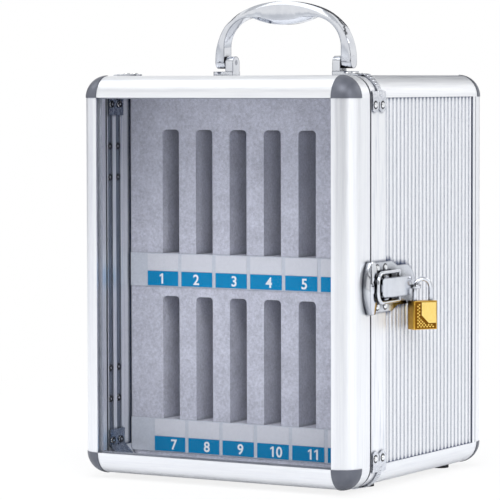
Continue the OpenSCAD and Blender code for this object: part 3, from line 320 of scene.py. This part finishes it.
def crimped():
    """Near-black for the rings of painted shade around the rivets."""
    mat, tree, shader = blank_material("rivet_shade_ring_black")
    ring_mottle = grain(tree, EVEN, 500.0)
    tone(tree, ring_mottle, (0.004, 0.004, 0.006), (0.02, 0.02, 0.027), shader.inputs["Base Color"])
    relief(tree, ring_mottle, 0.00004, 0.4, shader)
    shader.inputs["Roughness"].default_value = 0.5
    shader.inputs["Metallic"].default_value = 0.6
    return mat


def crimp(mesh, base, normal, inner, outer, height):
    """A low black ring of painted shade around a rivet, standing on the sheet at base."""
    side = normal.orthogonal().normalized()
    cross = normal.cross(side)
    profile = ((inner, 0.0), (inner, height), (outer - height, height), (outer, 0.0))
    rings = []
    for k in range(SHADE_RING_SIDES):
        turn = 2 * math.pi * k / SHADE_RING_SIDES
        away = side * math.cos(turn) + cross * math.sin(turn)
        rings.append([mesh.verts.new(base + away * r + normal * h) for r, h in profile])
    for near, far in zip(rings, rings[1:] + rings[:1]):
        for j in range(len(profile) - 1):
            mesh.faces.new((near[j], near[j + 1], far[j + 1], far[j]))


def solid_boxes(data):
    """The lowest and highest corners of each separate solid of a mesh."""
    probe = bmesh.new()
    probe.from_mesh(data)
    bmesh.ops.remove_doubles(probe, verts=probe.verts, dist=WELD_GAP)
    seen, found = set(), []
    for start in probe.verts:
        if start in seen:
            continue
        stack, group = [start], []
        seen.add(start)
        while stack:
            vert = stack.pop()
            group.append(vert.co.copy())
            for edge in vert.link_edges:
                other = edge.other_vert(vert)
                if other not in seen:
                    seen.add(other)
                    stack.append(other)
        found.append((Vector([min(v[i] for v in group) for i in range(3)]),
                      Vector([max(v[i] for v in group) for i in range(3)])))
    probe.free()
    return found


bright = bright_steel()
dress(bright, "clamp_rivets", "hinge_body_rivets", "hinge_door_rivets", "latch_rivets")

shade_rings = bmesh.new()
for name in ("clamp_rivets", "hinge_body_rivets"):
    for low, high in solid_boxes(nodes[name].data):
        centre = (low + high) / 2
        axis = 0 if high.x - low.x > high.z - low.z else 2
        outward = -1 if centre[axis] < (case_low[axis] + case_high[axis]) / 2 else 1
        normal = Vector((0, 0, 0))
        normal[axis] = outward
        head_end, tail_end = (low, high) if outward < 0 else (high, low)
        under_head = centre.copy()
        under_head[axis] = head_end[axis] - outward * HEAD_H
        crimp(shade_rings, under_head, normal, HEAD_R - SHADE_RING_LAP, HEAD_R + SHADE_RING_W, SHADE_RING_H)
        tail = centre.copy()
        tail[axis] = tail_end[axis] + outward * TAIL_LIFT
        crimp(shade_rings, tail, -normal, TAIL_BORE, HEAD_R + TAIL_SHADE_RING_W, TAIL_SHADE_RING_H)
for low, high in solid_boxes(nodes["latch_rivets"].data):
    centre = (low + high) / 2
    under_head = Vector((high.x - LATCH_HEAD_H, centre.y, centre.z))
    crimp(shade_rings, under_head, Vector((1, 0, 0)), LATCH_HEAD_R - SHADE_RING_LAP,
          LATCH_HEAD_R + LATCH_SHADE_RING_W, SHADE_RING_H)
finish_mesh("rivet_shade_rings", shade_rings, (crimped(),), "case")

# ---- Hinges -----------------------------------------------------------------
# Two pressed zinc-plated hinges on the left side, one leaf riveted to the ring and
# one to the door, with their knuckles turning on bright steel pins.
dress(zinc, "hinge_body_leaves", "hinge_door_leaves")
dress(bright, "hinge_pins")

# ---- Channel floors ---------------------------------------------------------
# The two shallow channels that run down the inside of each ring post, floored with dark brushed
# strips of painted shade.
CHANNELS = ((0.0302, 0.0358), (0.0405, 0.0461))   # front and back, from the case's front
CHANNEL_X = 0.0045                                # floor, in from the case's side
CHANNEL_END = 0.0155
FLOOR_T = 0.00006


def add_plate(mesh, low, high, slot=0):
    """Adds a thin plate between two corners and returns its vertices."""
    made = bmesh.ops.create_cube(mesh, size=1.0)["verts"]
    bmesh.ops.scale(mesh, vec=Vector(high) - Vector(low), verts=made)
    bmesh.ops.translate(mesh, vec=(Vector(high) + Vector(low)) / 2, verts=made)
    for face in {f for v in made for f in v.link_faces}:
        face.material_index = slot
    return made


def dull_floor():
    """A dark blue-grey with a brushed grain: painted shade for the channel floors, darker still in
    their corners.
    """
    mat, tree, shader = blank_material("channel_floor_painted_shade")
    colour = shader.inputs["Base Color"]
    brush = grain(tree, DIE_LINES["z"], 20.0)
    skin = tone(tree, brush, (0.11, 0.13, 0.175), (0.20, 0.23, 0.29), colour)
    crease(tree, skin, (0.05, 0.055, 0.075), 0.0015, colour)
    relief(tree, brush, 0.00003, 0.3, shader)
    shader.inputs["Roughness"].default_value = 0.5
    shader.inputs["Metallic"].default_value = 0.6
    return mat


shade_strips = bmesh.new()
for wall, inward in ((case_low.x + CHANNEL_X, 1), (case_high.x - CHANNEL_X, -1)):
    for near, far in CHANNELS:
        back, face = sorted((wall, wall + inward * FLOOR_T))
        add_plate(shade_strips, (back, case_low.y + near, case_low.z + CHANNEL_END),
                  (face, case_low.y + far, case_high.z - CHANNEL_END))
finish_mesh("channel_floor_shade_strips", shade_strips, (dull_floor(),), "case")

# ---- Seal and feet ----------------------------------------------------------
# Black rubber makes the seal around the parting line and the four round feet,
# each held under the bottom panel by one screw.


def black_rubber():
    """Matt black rubber with a faint bloom."""
    mat, tree, shader = blank_material("black_rubber")
    bloom = grain(tree, EVEN, 300.0)
    tone(tree, bloom, (0.012, 0.012, 0.015), (0.03, 0.03, 0.034), shader.inputs["Base Color"])
    level(tree, bloom, 0.55, 0.75, shader.inputs["Roughness"])
    relief(tree, bloom, 0.00004, 0.4, shader)
    return mat


dress(black_rubber(), "door_seal", "feet")
dress(bright, "foot_screws")

# ---- Rack -------------------------------------------------------------------
# Boards and dividers covered in blue-grey felt, with two rows of upright slots.
# The skin in front is one piece of the same felt, turned in at each slot.


def felt():
    """Blue-grey needle felt: short fibres over a cloudy ground, with painted shade in the slots.
    """
    mat, tree, shader = blank_material("grey_felt")
    colour = shader.inputs["Base Color"]
    fibres = grain(tree, EVEN, 520.0, detail=6.0, roughness=0.8)
    cloud = grain(tree, EVEN, 60.0)
    blend = tree.nodes.new("ShaderNodeMix")
    blend.inputs["Factor"].default_value = 0.25
    tree.links.new(fibres, blend.inputs["A"])
    tree.links.new(cloud, blend.inputs["B"])
    nap = tone(tree, blend.outputs["Result"], (0.38, 0.385, 0.455), (0.64, 0.65, 0.75),
               colour, 0.36, 0.62)
    crease(tree, nap, (0.2, 0.21, 0.26), 0.004, colour, 0.3, 0.85)
    relief(tree, fibres, 0.0002, 0.5, shader)
    shader.inputs["Roughness"].default_value = 0.95
    shader.inputs["Sheen Weight"].default_value = 0.3
    return mat


dress(felt(), "rack_skin", "rack_top_block", "rack_shelf", "rack_base_block",
      "upper_dividers", "lower_dividers", "rack_back_board")

# ---- Label strips and number cards ------------------------------------------
# A plain strip of card under each row of slots, with a printed card per slot:
# a blank field above and a blue field with the slot's number below.
PANEL_INSET = 0.0003     # how far the side panels lie inside the case's sides
STRIP_H = 0.024
CARDS = 6                # cards on a strip
CARD_PITCH = 0.0287
CARD_W = 0.0258
CARD_T = 0.00025
CARD_TOP_GAP = 0.0006
FIELD_GAP = 0.0003       # white line between the blank and the blue field
BLUE_H = 0.0104
BLUE_T = CARD_T * 1.4
BLUE_MARGIN = 0.0006
DIGIT_H = 0.0074
DIGIT_SIZE = DIGIT_H / 0.72    # type size whose figures are that high
DIGIT_BOLD = 0.0002
DIGIT_HALF_T = 0.00008
DIGIT_LIFT = CARD_T * 1.5
DIGIT_SHIFTS = {"upper": (-0.0004, -0.0004, 0.0026, 0.0026, 0.0026, 0.0026),
                "lower": (0.0034, 0.0026, 0.002, 0.0026, 0.0046, 0.003)}
ONE_WIDTH = DIGIT_H * 0.3      # only an upright stroke is narrower than this
ONE_FLAG = ((0.0002, 0.0), (-0.0015, -0.0013), (-0.0015, -0.0024), (0.0002, -0.0013))
strip_low, strip_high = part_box("label_strips")
case_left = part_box("left_panel")[0].x - PANEL_INSET
ROWS = (                 # name, foot of the strip, first card's left edge, first number
    ("upper", strip_high.z - STRIP_H, 0.0202, 1),
    ("lower", strip_low.z, 0.0257, 7),
)


def card_stock(name, low, high, roughness):
    """Printed card with a faint fibre."""
    mat, tree, shader = blank_material(name)
    fibre = grain(tree, EVEN, 700.0)
    tone(tree, fibre, low, high, shader.inputs["Base Color"])
    relief(tree, fibre, 0.00002, 0.3, shader)
    shader.inputs["Specular IOR Level"].default_value = 0.06
    shader.inputs["Roughness"].default_value = roughness
    return mat


def figures(number, x, y, z):
    """The mesh of a printed number, centred on x and standing on z."""
    curve = bpy.data.curves.new(f"digit_{number}", "FONT")
    curve.body = str(number)
    curve.size = DIGIT_SIZE
    curve.offset = DIGIT_BOLD
    curve.extrude = DIGIT_HALF_T
    curve.align_x = "CENTER"
    text = bpy.data.objects.new(f"digit_{number}", curve)
    bpy.context.scene.collection.objects.link(text)
    text.rotation_euler = (math.pi / 2, 0, 0)
    text.location = (x, y, z)
    bpy.context.view_layer.update()
    evaluated = text.evaluated_get(bpy.context.evaluated_depsgraph_get())
    data = bpy.data.meshes.new_from_object(evaluated)
    data.transform(text.matrix_world)
    bpy.data.objects.remove(text)
    return data


def flag(mesh, low, high):
    """The short slanted stroke at the top of a printed 1, left of its upright."""
    back, front = ([mesh.verts.new((low.x + x, y, high.z + z)) for x, z in ONE_FLAG]
                   for y in (low.y, high.y))
    mesh.faces.new(back)
    mesh.faces.new(front)
    for k in range(4):
        mesh.faces.new((back[k], back[(k + 1) % 4], front[(k + 1) % 4], front[k]))


strip_card = card_stock("strip_card", (0.52, 0.55, 0.62), (0.60, 0.63, 0.70), 0.5)
blank_field = card_stock("blank_field", (0.62, 0.63, 0.69), (0.68, 0.69, 0.75), 0.45)
blue_field = {
    "upper": card_stock("upper_blue", (0.0, 0.205, 0.46), (0.001, 0.26, 0.54), 0.45),
    "lower": card_stock("lower_blue", (0.0, 0.19, 0.43), (0.001, 0.24, 0.50), 0.45),
}
digit_white = card_stock("digit_white", (0.85, 0.86, 0.88), (0.9, 0.9, 0.92), 0.4)
dress(strip_card, "label_strips")

strip_face = strip_low.y
for row, foot, first, number in ROWS:
    cards, digits = bmesh.new(), bmesh.new()
    blue_foot = foot + BLUE_MARGIN
    split = blue_foot + BLUE_H
    for i in range(CARDS):
        left = case_left + first + i * CARD_PITCH
        right = left + CARD_W
        add_plate(cards, (left, strip_face - CARD_T, split + FIELD_GAP),
                  (right, strip_face, foot + STRIP_H - CARD_TOP_GAP), 0)
        add_plate(cards, (left, strip_face - BLUE_T, blue_foot), (right, strip_face, split), 1)
        printed = figures(number + i, left + CARD_W * 0.5 + DIGIT_SHIFTS[row][i],
                          strip_face - DIGIT_LIFT, blue_foot + (BLUE_H - DIGIT_H) / 2)
        for low, high in solid_boxes(printed):
            if high.x - low.x < ONE_WIDTH:
                flag(digits, low, high)
        digits.from_mesh(printed)
    finish_mesh(f"{row}_number_cards", cards, (blank_field, blue_field[row]), "case")
    finish_mesh(f"{row}_digits", digits, (digit_white,), "case")

# ---- Handle -----------------------------------------------------------------
# Chrome-plated cast grip that folds down to either side. It turns on steel pins
# in two brackets, each screwed to the top panel.
SHARP = math.radians(40)    # edges that turn by more than this are broken


def chrome(name, reach, open_at=0.86):
    """Bright plating with painted dark reflections along its own edges and painted shade within
    reach of the piece beside it.
    """
    mat, tree, shader = blank_material(name)
    colour = shader.inputs["Base Color"]
    haze = grain(tree, EVEN, 120.0)
    plating = tone(tree, haze, (0.64, 0.66, 0.71), (0.74, 0.76, 0.80), colour)
    painted_edge_dark = crease(tree, plating, (0.10, 0.11, 0.15), 0.0010, colour, 0.45, 0.9, inside=True)
    crease(tree, painted_edge_dark, (0.010, 0.012, 0.018), reach, colour, 0.42, open_at)
    level(tree, haze, 0.07, 0.14, shader.inputs["Roughness"])
    shader.inputs["Metallic"].default_value = 1.0
    return mat


def soften(name, width, segments=3):
    """Breaks a CAD node's sharp edges so that they catch the light."""
    weld = nodes[name].modifiers.new("weld", "WELD")
    weld.merge_threshold = WELD_GAP
    bevel = nodes[name].modifiers.new("broken_edges", "BEVEL")
    bevel.width = width
    bevel.segments = segments
    bevel.limit_method = "ANGLE"
    bevel.angle_limit = SHARP
    bevel.harden_normals = True


plated = chrome("chrome_plate", 0.0035)
dress(plated, "handle_grip", "left_bracket", "right_bracket")
dress(bright, "bracket_screws", "handle_pins")
soften("handle_grip", 0.0008, 4)
soften("left_bracket", 0.0004)
soften("right_bracket", 0.0004)

# ---- Door -------------------------------------------------------------------
# Rounded stiles and rails of the same extrusion around one clear acrylic pane, with
# quarter-round sleeves at the corners. A soft grey PVC gasket holds the pane.


def grey_pvc():
    """Soft grey PVC."""
    mat, tree, shader = blank_material("grey_pvc")
    cloud = grain(tree, EVEN, 200.0)
    tone(tree, cloud, (0.30, 0.32, 0.38), (0.38, 0.40, 0.46), shader.inputs["Base Color"])
    relief(tree, cloud, 0.00003, 0.3, shader)
    shader.inputs["Roughness"].default_value = 0.5
    return mat


def acrylic():
    """Clear cast acrylic with a faint haze."""
    mat, tree, shader = blank_material("clear_acrylic")
    haze = grain(tree, EVEN, 25.0)
    level(tree, haze, 0.02, 0.06, shader.inputs["Roughness"])
    shader.inputs["Base Color"].default_value = (0.3, 0.33, 0.37, 1)
    shader.inputs["Alpha"].default_value = 0.012
    shader.inputs["IOR"].default_value = 1.49
    return mat


dress(along_z, "door_left_stile", "door_right_stile")
dress(along_x, "door_top_rail", "door_bottom_rail")
dress(along_y, "door_corner_sleeves")
dress(grey_pvc(), "window_gasket")
dress(acrylic(), "window_pane")

# ---- Latch ------------------------------------------------------------------
# Chrome-plated over-centre latch: a domed keeper on the door, a base plate on the
# ring, a folded lever and the wire bail that it pulls back over the keeper's hook.
dress(plated, "latch_lever", "latch_bail")
# The base plate and keeper carry painted shade far out from the bail and lever that stand over
# them.
dress(chrome("chrome_base_plate", 0.009, 0.97), "latch_base", "keeper")
dress(bright, "lever_pins")
for part in ("latch_base", "keeper", "latch_lever"):
    soften(part, 0.0003, 2)

# ---- Padlock ----------------------------------------------------------------
# Brushed brass body with a chrome shackle through the latch's eye and a key plug in its foot. Both
# faces are knurled around a plain polished shield, over a dark plate of painted shade.
LOCK_TURN = math.radians(-35.7)    # how the lock hangs, turned about the upright
LOCK_HALF_T = 0.00475
LOCK_HALF_W = 0.0081
SHIELD_LEFT = -0.0031              # sides of the shield, from the face's middle and foot
SHIELD_BOTTOM = 0.0044
SHIELD_TOP_GAP = 0.0009
SHIELD_CUT = 0.0056                # its lower corner is cut off by this much
SHIELD_RISE = 0.00022
SHIELD_SIDE = SHIELD_RISE * 0.6    # height of its straight sides
SHIELD_BEVEL = 0.00022
SHIELD_CORNER_GAP = 1.5            # margin along the cut, in margins of the sides
GROUND_T = 0.00003                 # the dark plate of painted shade that the knurling stands on
GROUND_MARGIN = 0.0006
KNURL = 0.00118                    # half the pitch of the diamonds
KNURL_FOOT = 0.0007
KNURL_RISE = 0.0003
KNURL_SINK = 0.00004
STUD = 0.00088                     # half the width of one diamond
DIAMOND = ((STUD, 0), (0, STUD), (-STUD, 0), (0, -STUD))
lock_low, lock_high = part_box("padlock_body")
lock_h = lock_high.z - lock_low.z
lock_middle = (lock_low + lock_high) / 2
lock_frame = (Matrix.Translation((lock_middle.x, lock_middle.y, lock_low.z))
              @ Matrix.Rotation(LOCK_TURN, 4, "Z"))


def brass(name, low, high, rough_low, rough_high, shade_reach):
    """Brushed brass, with brown painted shade within reach of an edge."""
    mat, tree, shader = blank_material(name)
    colour = shader.inputs["Base Color"]
    brush = grain(tree, (60.0, 60.0, 4.0), 60.0)
    metal = tone(tree, brush, low, high, colour)
    crease(tree, metal, (0.10, 0.035, 0.004), shade_reach, colour, 0.5, 0.97)
    level(tree, brush, rough_low, rough_high, shader.inputs["Roughness"])
    relief(tree, brush, 0.00003, 0.3, shader)
    shader.inputs["Metallic"].default_value = 1.0
    return mat


def on_lock(facing, rise, across, up):
    """A point of the lock's front or rear face, from the middle of its foot."""
    return lock_frame @ Vector((facing * (LOCK_HALF_T + rise), facing * across, up))


def on_shield(across, up, margin):
    """Whether a point of the lock's face lies on its plain polished shield."""
    inside = across > SHIELD_LEFT - margin and up > SHIELD_BOTTOM - margin
    corner_line = (across - SHIELD_LEFT) + (up - SHIELD_BOTTOM)
    return inside and corner_line > SHIELD_CUT - margin * SHIELD_CORNER_GAP


def add_shield(mesh, facing):
    """The raised shield: straight sides, then a narrow bevel up to its flat face."""
    shield_top = lock_h - SHIELD_TOP_GAP
    outline = ((SHIELD_LEFT, shield_top), (SHIELD_LEFT, SHIELD_BOTTOM + SHIELD_CUT),
               (SHIELD_LEFT + SHIELD_CUT, SHIELD_BOTTOM), (LOCK_HALF_W, SHIELD_BOTTOM),
               (LOCK_HALF_W, shield_top))
    corners = [Vector(p) for p in outline]
    middle = sum(corners, Vector((0, 0))) / len(corners)
    loops = []
    for rise, shrink in ((0.0, 0.0), (SHIELD_SIDE, 0.0), (SHIELD_RISE, SHIELD_BEVEL)):
        drawn_in = [p + (middle - p).normalized() * shrink for p in corners]
        loops.append([mesh.verts.new(on_lock(facing, rise, p.x, p.y)) for p in drawn_in])
    for near, far in zip(loops, loops[1:]):
        for k in range(len(corners)):
            m = (k + 1) % len(corners)
            mesh.faces.new((near[k], near[m], far[m], far[k]))
    mesh.faces.new(loops[-1])


def add_knurling(mesh, facing):
    """Rows of low diamonds over the face, wherever the shield isn't."""
    steps_across = int(LOCK_HALF_W / KNURL)
    steps_up = int((lock_h - 2 * GROUND_MARGIN) / KNURL)
    for i in range(-steps_across, steps_across + 1):
        for j in range(1, steps_up):
            across, up = i * KNURL, KNURL_FOOT + j * KNURL
            off_face = abs(across) > LOCK_HALF_W - KNURL
            if (i + j) % 2 or off_face or on_shield(across, up, KNURL):
                continue
            tip = mesh.verts.new(on_lock(facing, KNURL_RISE, across, up))
            base = [mesh.verts.new(on_lock(facing, -KNURL_SINK, across + a, up + b))
                    for a, b in DIAMOND]
            for k in range(4):
                mesh.faces.new((base[k], base[(k + 1) % 4], tip))


# The dark brown plate under the knurling is painted shade between the diamonds.
knurl_shade = brass("knurl_ground_painted_shade", (0.13, 0.05, 0.004), (0.22, 0.09, 0.01), 0.35, 0.5, 0.0007)
brushed = brass("brushed_brass", (0.50, 0.27, 0.035), (0.72, 0.44, 0.08), 0.24, 0.4, 0.006)
knurled = brass("knurled_brass", (0.80, 0.52, 0.09), (0.92, 0.66, 0.18), 0.25, 0.35, 0.0003)
polished = brass("polished_brass", (0.84, 0.58, 0.15), (0.95, 0.72, 0.26), 0.16, 0.28, 0.0006)
dress(brushed, "padlock_body", "padlock_plug")
dress(plated, "padlock_shackle")
soften("padlock_body", 0.0005)

shields, knurling, sunk = bmesh.new(), bmesh.new(), bmesh.new()
for facing in (1, -1):
    add_shield(shields, facing)
    add_knurling(knurling, facing)
    back, face = sorted((facing * LOCK_HALF_T, facing * (LOCK_HALF_T + GROUND_T)))
    plate = add_plate(sunk, (back, -LOCK_HALF_W, GROUND_MARGIN),
                      (face, LOCK_HALF_W, lock_h - GROUND_MARGIN))
    bmesh.ops.transform(sunk, matrix=lock_frame, verts=plate)
finish_mesh("lock_shields", shields, (polished,), "padlock")
finish_mesh("lock_knurling", knurling, (knurled,), "padlock")
finish_mesh("lock_knurl_shade", sunk, (knurl_shade,), "padlock")

# ---- Floor ------------------------------------------------------------------
# A plain pale sheet that runs out to the white of the background. It keeps the
# locker's shadow close by and turns plain white further off.
FLOOR_HALF = 30.0
FLOOR_IN_MIRRORS = 0.1     # share of plain white in the floor that metal mirrors
WHITE_NEAR, WHITE_FAR = 0.12, 0.7     # distances over which the floor turns white
WHITE_AT_FOOT = 0.84       # share of plain white under the locker


def studio_object(name, mesh, mat):
    """Turns a bmesh into a piece of the studio and returns it."""
    data = bpy.data.meshes.new(name)
    mesh.to_mesh(data)
    mesh.free()
    data.materials.append(mat)
    made = bpy.data.objects.new(name, data)
    bpy.context.scene.collection.objects.link(made)
    return made


def combine(tree, operation, *sources):
    """A Math node fed by outputs and plain numbers; returns its output."""
    made = tree.nodes.new("ShaderNodeMath")
    made.operation = operation
    for socket, source in zip(made.inputs, sources):
        if isinstance(source, float):
            socket.default_value = source
        else:
            tree.links.new(source, socket)
    return made.outputs["Value"]


def pale_paper():
    """Pale paper that the camera sees as white, the more so further from the locker."""
    mat, tree, shader = blank_material("pale_floor")
    shader.inputs["Base Color"].default_value = (0.9, 0.9, 0.9, 1)
    shader.inputs["Roughness"].default_value = 0.9
    glow = tree.nodes.new("ShaderNodeEmission")
    glow.inputs["Strength"].default_value = 1.0
    rays = tree.nodes.new("ShaderNodeLightPath").outputs
    seen = combine(tree, "MAXIMUM", rays["Is Camera Ray"], rays["Is Transmission Ray"])
    seen = combine(tree, "MULTIPLY_ADD", rays["Is Glossy Ray"], FLOOR_IN_MIRRORS, seen)
    coords = tree.nodes.new("ShaderNodeTexCoord")
    distance = tree.nodes.new("ShaderNodeVectorMath")
    distance.operation = "LENGTH"
    fade = tree.nodes.new("ShaderNodeMapRange")
    fade.interpolation_type = "SMOOTHSTEP"
    fade.inputs["From Min"].default_value = WHITE_NEAR
    fade.inputs["From Max"].default_value = WHITE_FAR
    fade.inputs["To Min"].default_value = WHITE_AT_FOOT
    fade.inputs["To Max"].default_value = 1.0
    mix = tree.nodes.new("ShaderNodeMixShader")
    tree.links.new(coords.outputs["Object"], distance.inputs[0])
    tree.links.new(distance.outputs["Value"], fade.inputs["Value"])
    tree.links.new(combine(tree, "MULTIPLY", seen, fade.outputs["Result"]), mix.inputs["Fac"])
    tree.links.new(shader.outputs["BSDF"], mix.inputs[1])
    tree.links.new(glow.outputs["Emission"], mix.inputs[2])
    tree.links.new(mix.outputs["Shader"], tree.nodes["Material Output"].inputs["Surface"])
    return mat


sheet = bmesh.new()
bmesh.ops.create_grid(sheet, x_segments=1, y_segments=1, size=FLOOR_HALF)
floor = studio_object("floor", sheet, pale_paper())
floor.location.z = cad_box[0].z

# ---- Background -------------------------------------------------------------
# Plain white wherever the camera, a mirror or the pane looks past the locker, and
# a slightly cooler and dimmer light from all around for everything else.
AMBIENT = 0.78
world = bpy.data.worlds.new("studio")
bpy.context.scene.world = world
world.use_nodes = True
sky = world.node_tree
ambient = sky.nodes["Background"]
ambient.inputs["Color"].default_value = (0.92, 0.95, 1.0, 1)
ambient.inputs["Strength"].default_value = AMBIENT
white = sky.nodes.new("ShaderNodeBackground")
white.inputs["Color"].default_value = (1, 1, 1, 1)
white.inputs["Strength"].default_value = 1.0
sky_rays = sky.nodes.new("ShaderNodeLightPath").outputs
sky_seen = combine(sky, "MAXIMUM", sky_rays["Is Camera Ray"], sky_rays["Is Glossy Ray"])
sky_seen = combine(sky, "MAXIMUM", sky_seen, sky_rays["Is Transmission Ray"])
sky_mix = sky.nodes.new("ShaderNodeMixShader")
sky.links.new(sky_seen, sky_mix.inputs["Fac"])
sky.links.new(ambient.outputs["Background"], sky_mix.inputs[1])
sky.links.new(white.outputs["Background"], sky_mix.inputs[2])
sky.links.new(sky_mix.outputs["Shader"], sky.nodes["World Output"].inputs["Surface"])

# ---- Lamps ------------------------------------------------------------------
# Five square softboxes aimed at the middle of the locker: a high one in front, a
# key on the latch's side, one overhead, one behind and one on the left.
AIM = Vector((0, 0, 0.15))
LAMPS = (                # name, place, side, watts
    ("front_high_softbox", (1.0, -1.7, 2.7), 1.6, 38),
    ("right_key", (2.4, -0.9, 1.4), 1.0, 13),
    ("overhead_softbox", (-0.7, -0.4, 2.7), 2.2, 14),
    ("rear_right_softbox", (1.9, 1.5, 1.6), 1.1, 8),
    ("left_softbox", (-2.3, -0.5, 2.0), 1.0, 9),
)
for name, place, side, watts in LAMPS:
    light = bpy.data.lights.new(name, "AREA")
    light.shape = "RECTANGLE"
    light.size = light.size_y = side
    light.energy = watts
    softbox = bpy.data.objects.new(name, light)
    softbox.location = place
    softbox.rotation_euler = (AIM - Vector(place)).to_track_quat("-Z", "Y").to_euler()
    bpy.context.scene.collection.objects.link(softbox)

# ---- Ceiling, ring and cards ------------------------------------------------
# A grey ceiling, a dark ring below it and upright dark cards, all seen by polished
# metal alone. They draw its dark lines and keep level tops from mirroring white.
CEILING_R, CEILING_Z, CEILING_GLOW = 3.4, 2.9, 0.66
RING_R, RING_LOW, RING_HIGH, RING_SHADE = 3.2, 1.9, 2.15, 0.03
ROUND_SIDES = 48
BLUER = 1.15             # the dark shades are this much stronger in blue
CARD_STAND = 3.0         # distance of the cards from the locker
DARK_CARDS = (           # turn in degrees, half width, height, shade
    (-160, 0.5, 1.6, 0.45), (-84, 0.5, 2.1, 0.08), (-57, 0.62, 2.3, 0.03), (-38, 0.3, 1.5, 0.06),
    (34, 0.25, 1.0, 0.06), (106, 0.8, 1.8, 0.06), (160, 0.5, 1.6, 0.06),
)


def for_mirrors(name, mesh, shade, glow=0.0):
    """A matt or evenly glowing piece of the studio that only mirrors see."""
    mat, tree, shader = blank_material(name)
    shader.inputs["Base Color"].default_value = (shade, shade, shade * BLUER, 1)
    shader.inputs["Roughness"].default_value = 1.0
    shader.inputs["Emission Color"].default_value = (0.96, 0.98, 1.0, 1)
    shader.inputs["Emission Strength"].default_value = glow
    made = studio_object(name, mesh, mat)
    made.visible_camera = False
    made.visible_diffuse = False
    made.visible_transmission = False
    made.visible_shadow = False


ceiling = bmesh.new()
bmesh.ops.create_circle(ceiling, cap_ends=True, segments=ROUND_SIDES, radius=CEILING_R,
                        matrix=Matrix.Translation((0, 0, CEILING_Z)))
for_mirrors("grey_ceiling", ceiling, 0.0, CEILING_GLOW)

band = bmesh.new()
turns = [2 * math.pi * k / ROUND_SIDES for k in range(ROUND_SIDES)]
low_edge, high_edge = ([band.verts.new((RING_R * math.cos(t), RING_R * math.sin(t), z))
                        for t in turns] for z in (RING_LOW, RING_HIGH))
for k in range(ROUND_SIDES):
    m = (k + 1) % ROUND_SIDES
    band.faces.new((low_edge[k], low_edge[m], high_edge[m], high_edge[k]))
for_mirrors("dark_ring", band, RING_SHADE)

for i, (degrees, half_wide, height, shade) in enumerate(DARK_CARDS):
    turn = math.radians(degrees)
    centre = Vector((math.cos(turn), math.sin(turn), 0)) * CARD_STAND
    along = Vector((-math.sin(turn), math.cos(turn), 0)) * half_wide
    up = Vector((0, 0, height))
    card = bmesh.new()
    card.faces.new([card.verts.new(corner) for corner in
                    (centre - along, centre + along, centre + along + up, centre - along + up)])
    for_mirrors(f"dark_card_{i + 1}", card, shade)

# ---- Camera -----------------------------------------------------------------
# Fitted to the straight edges of the case. Its place is given from the case's
# front left bottom corner.
CAMERA_FROM_CORNER = Vector((1.174036, -1.738916, 0.278625))
CAMERA_YAW = math.radians(30.705)
CAMERA_PITCH = math.radians(-3.280)
CAMERA_ROLL = math.radians(-0.125)
camera_data = bpy.data.cameras.new("photo_camera")
camera_data.sensor_width = 36
camera_data.lens = 213.08
camera_data.clip_end = 100
camera = bpy.data.objects.new("photo_camera", camera_data)
camera.matrix_world = (
    Matrix.Translation(case_low + CAMERA_FROM_CORNER)
    @ Matrix.Rotation(CAMERA_YAW, 4, "Z")
    @ Matrix.Rotation(math.pi / 2 + CAMERA_PITCH, 4, "X")
    @ Matrix.Rotation(CAMERA_ROLL, 4, "Z")
)
bpy.context.scene.collection.objects.link(camera)
bpy.context.scene.camera = camera
bpy.context.scene.view_settings.view_transform = "Standard"
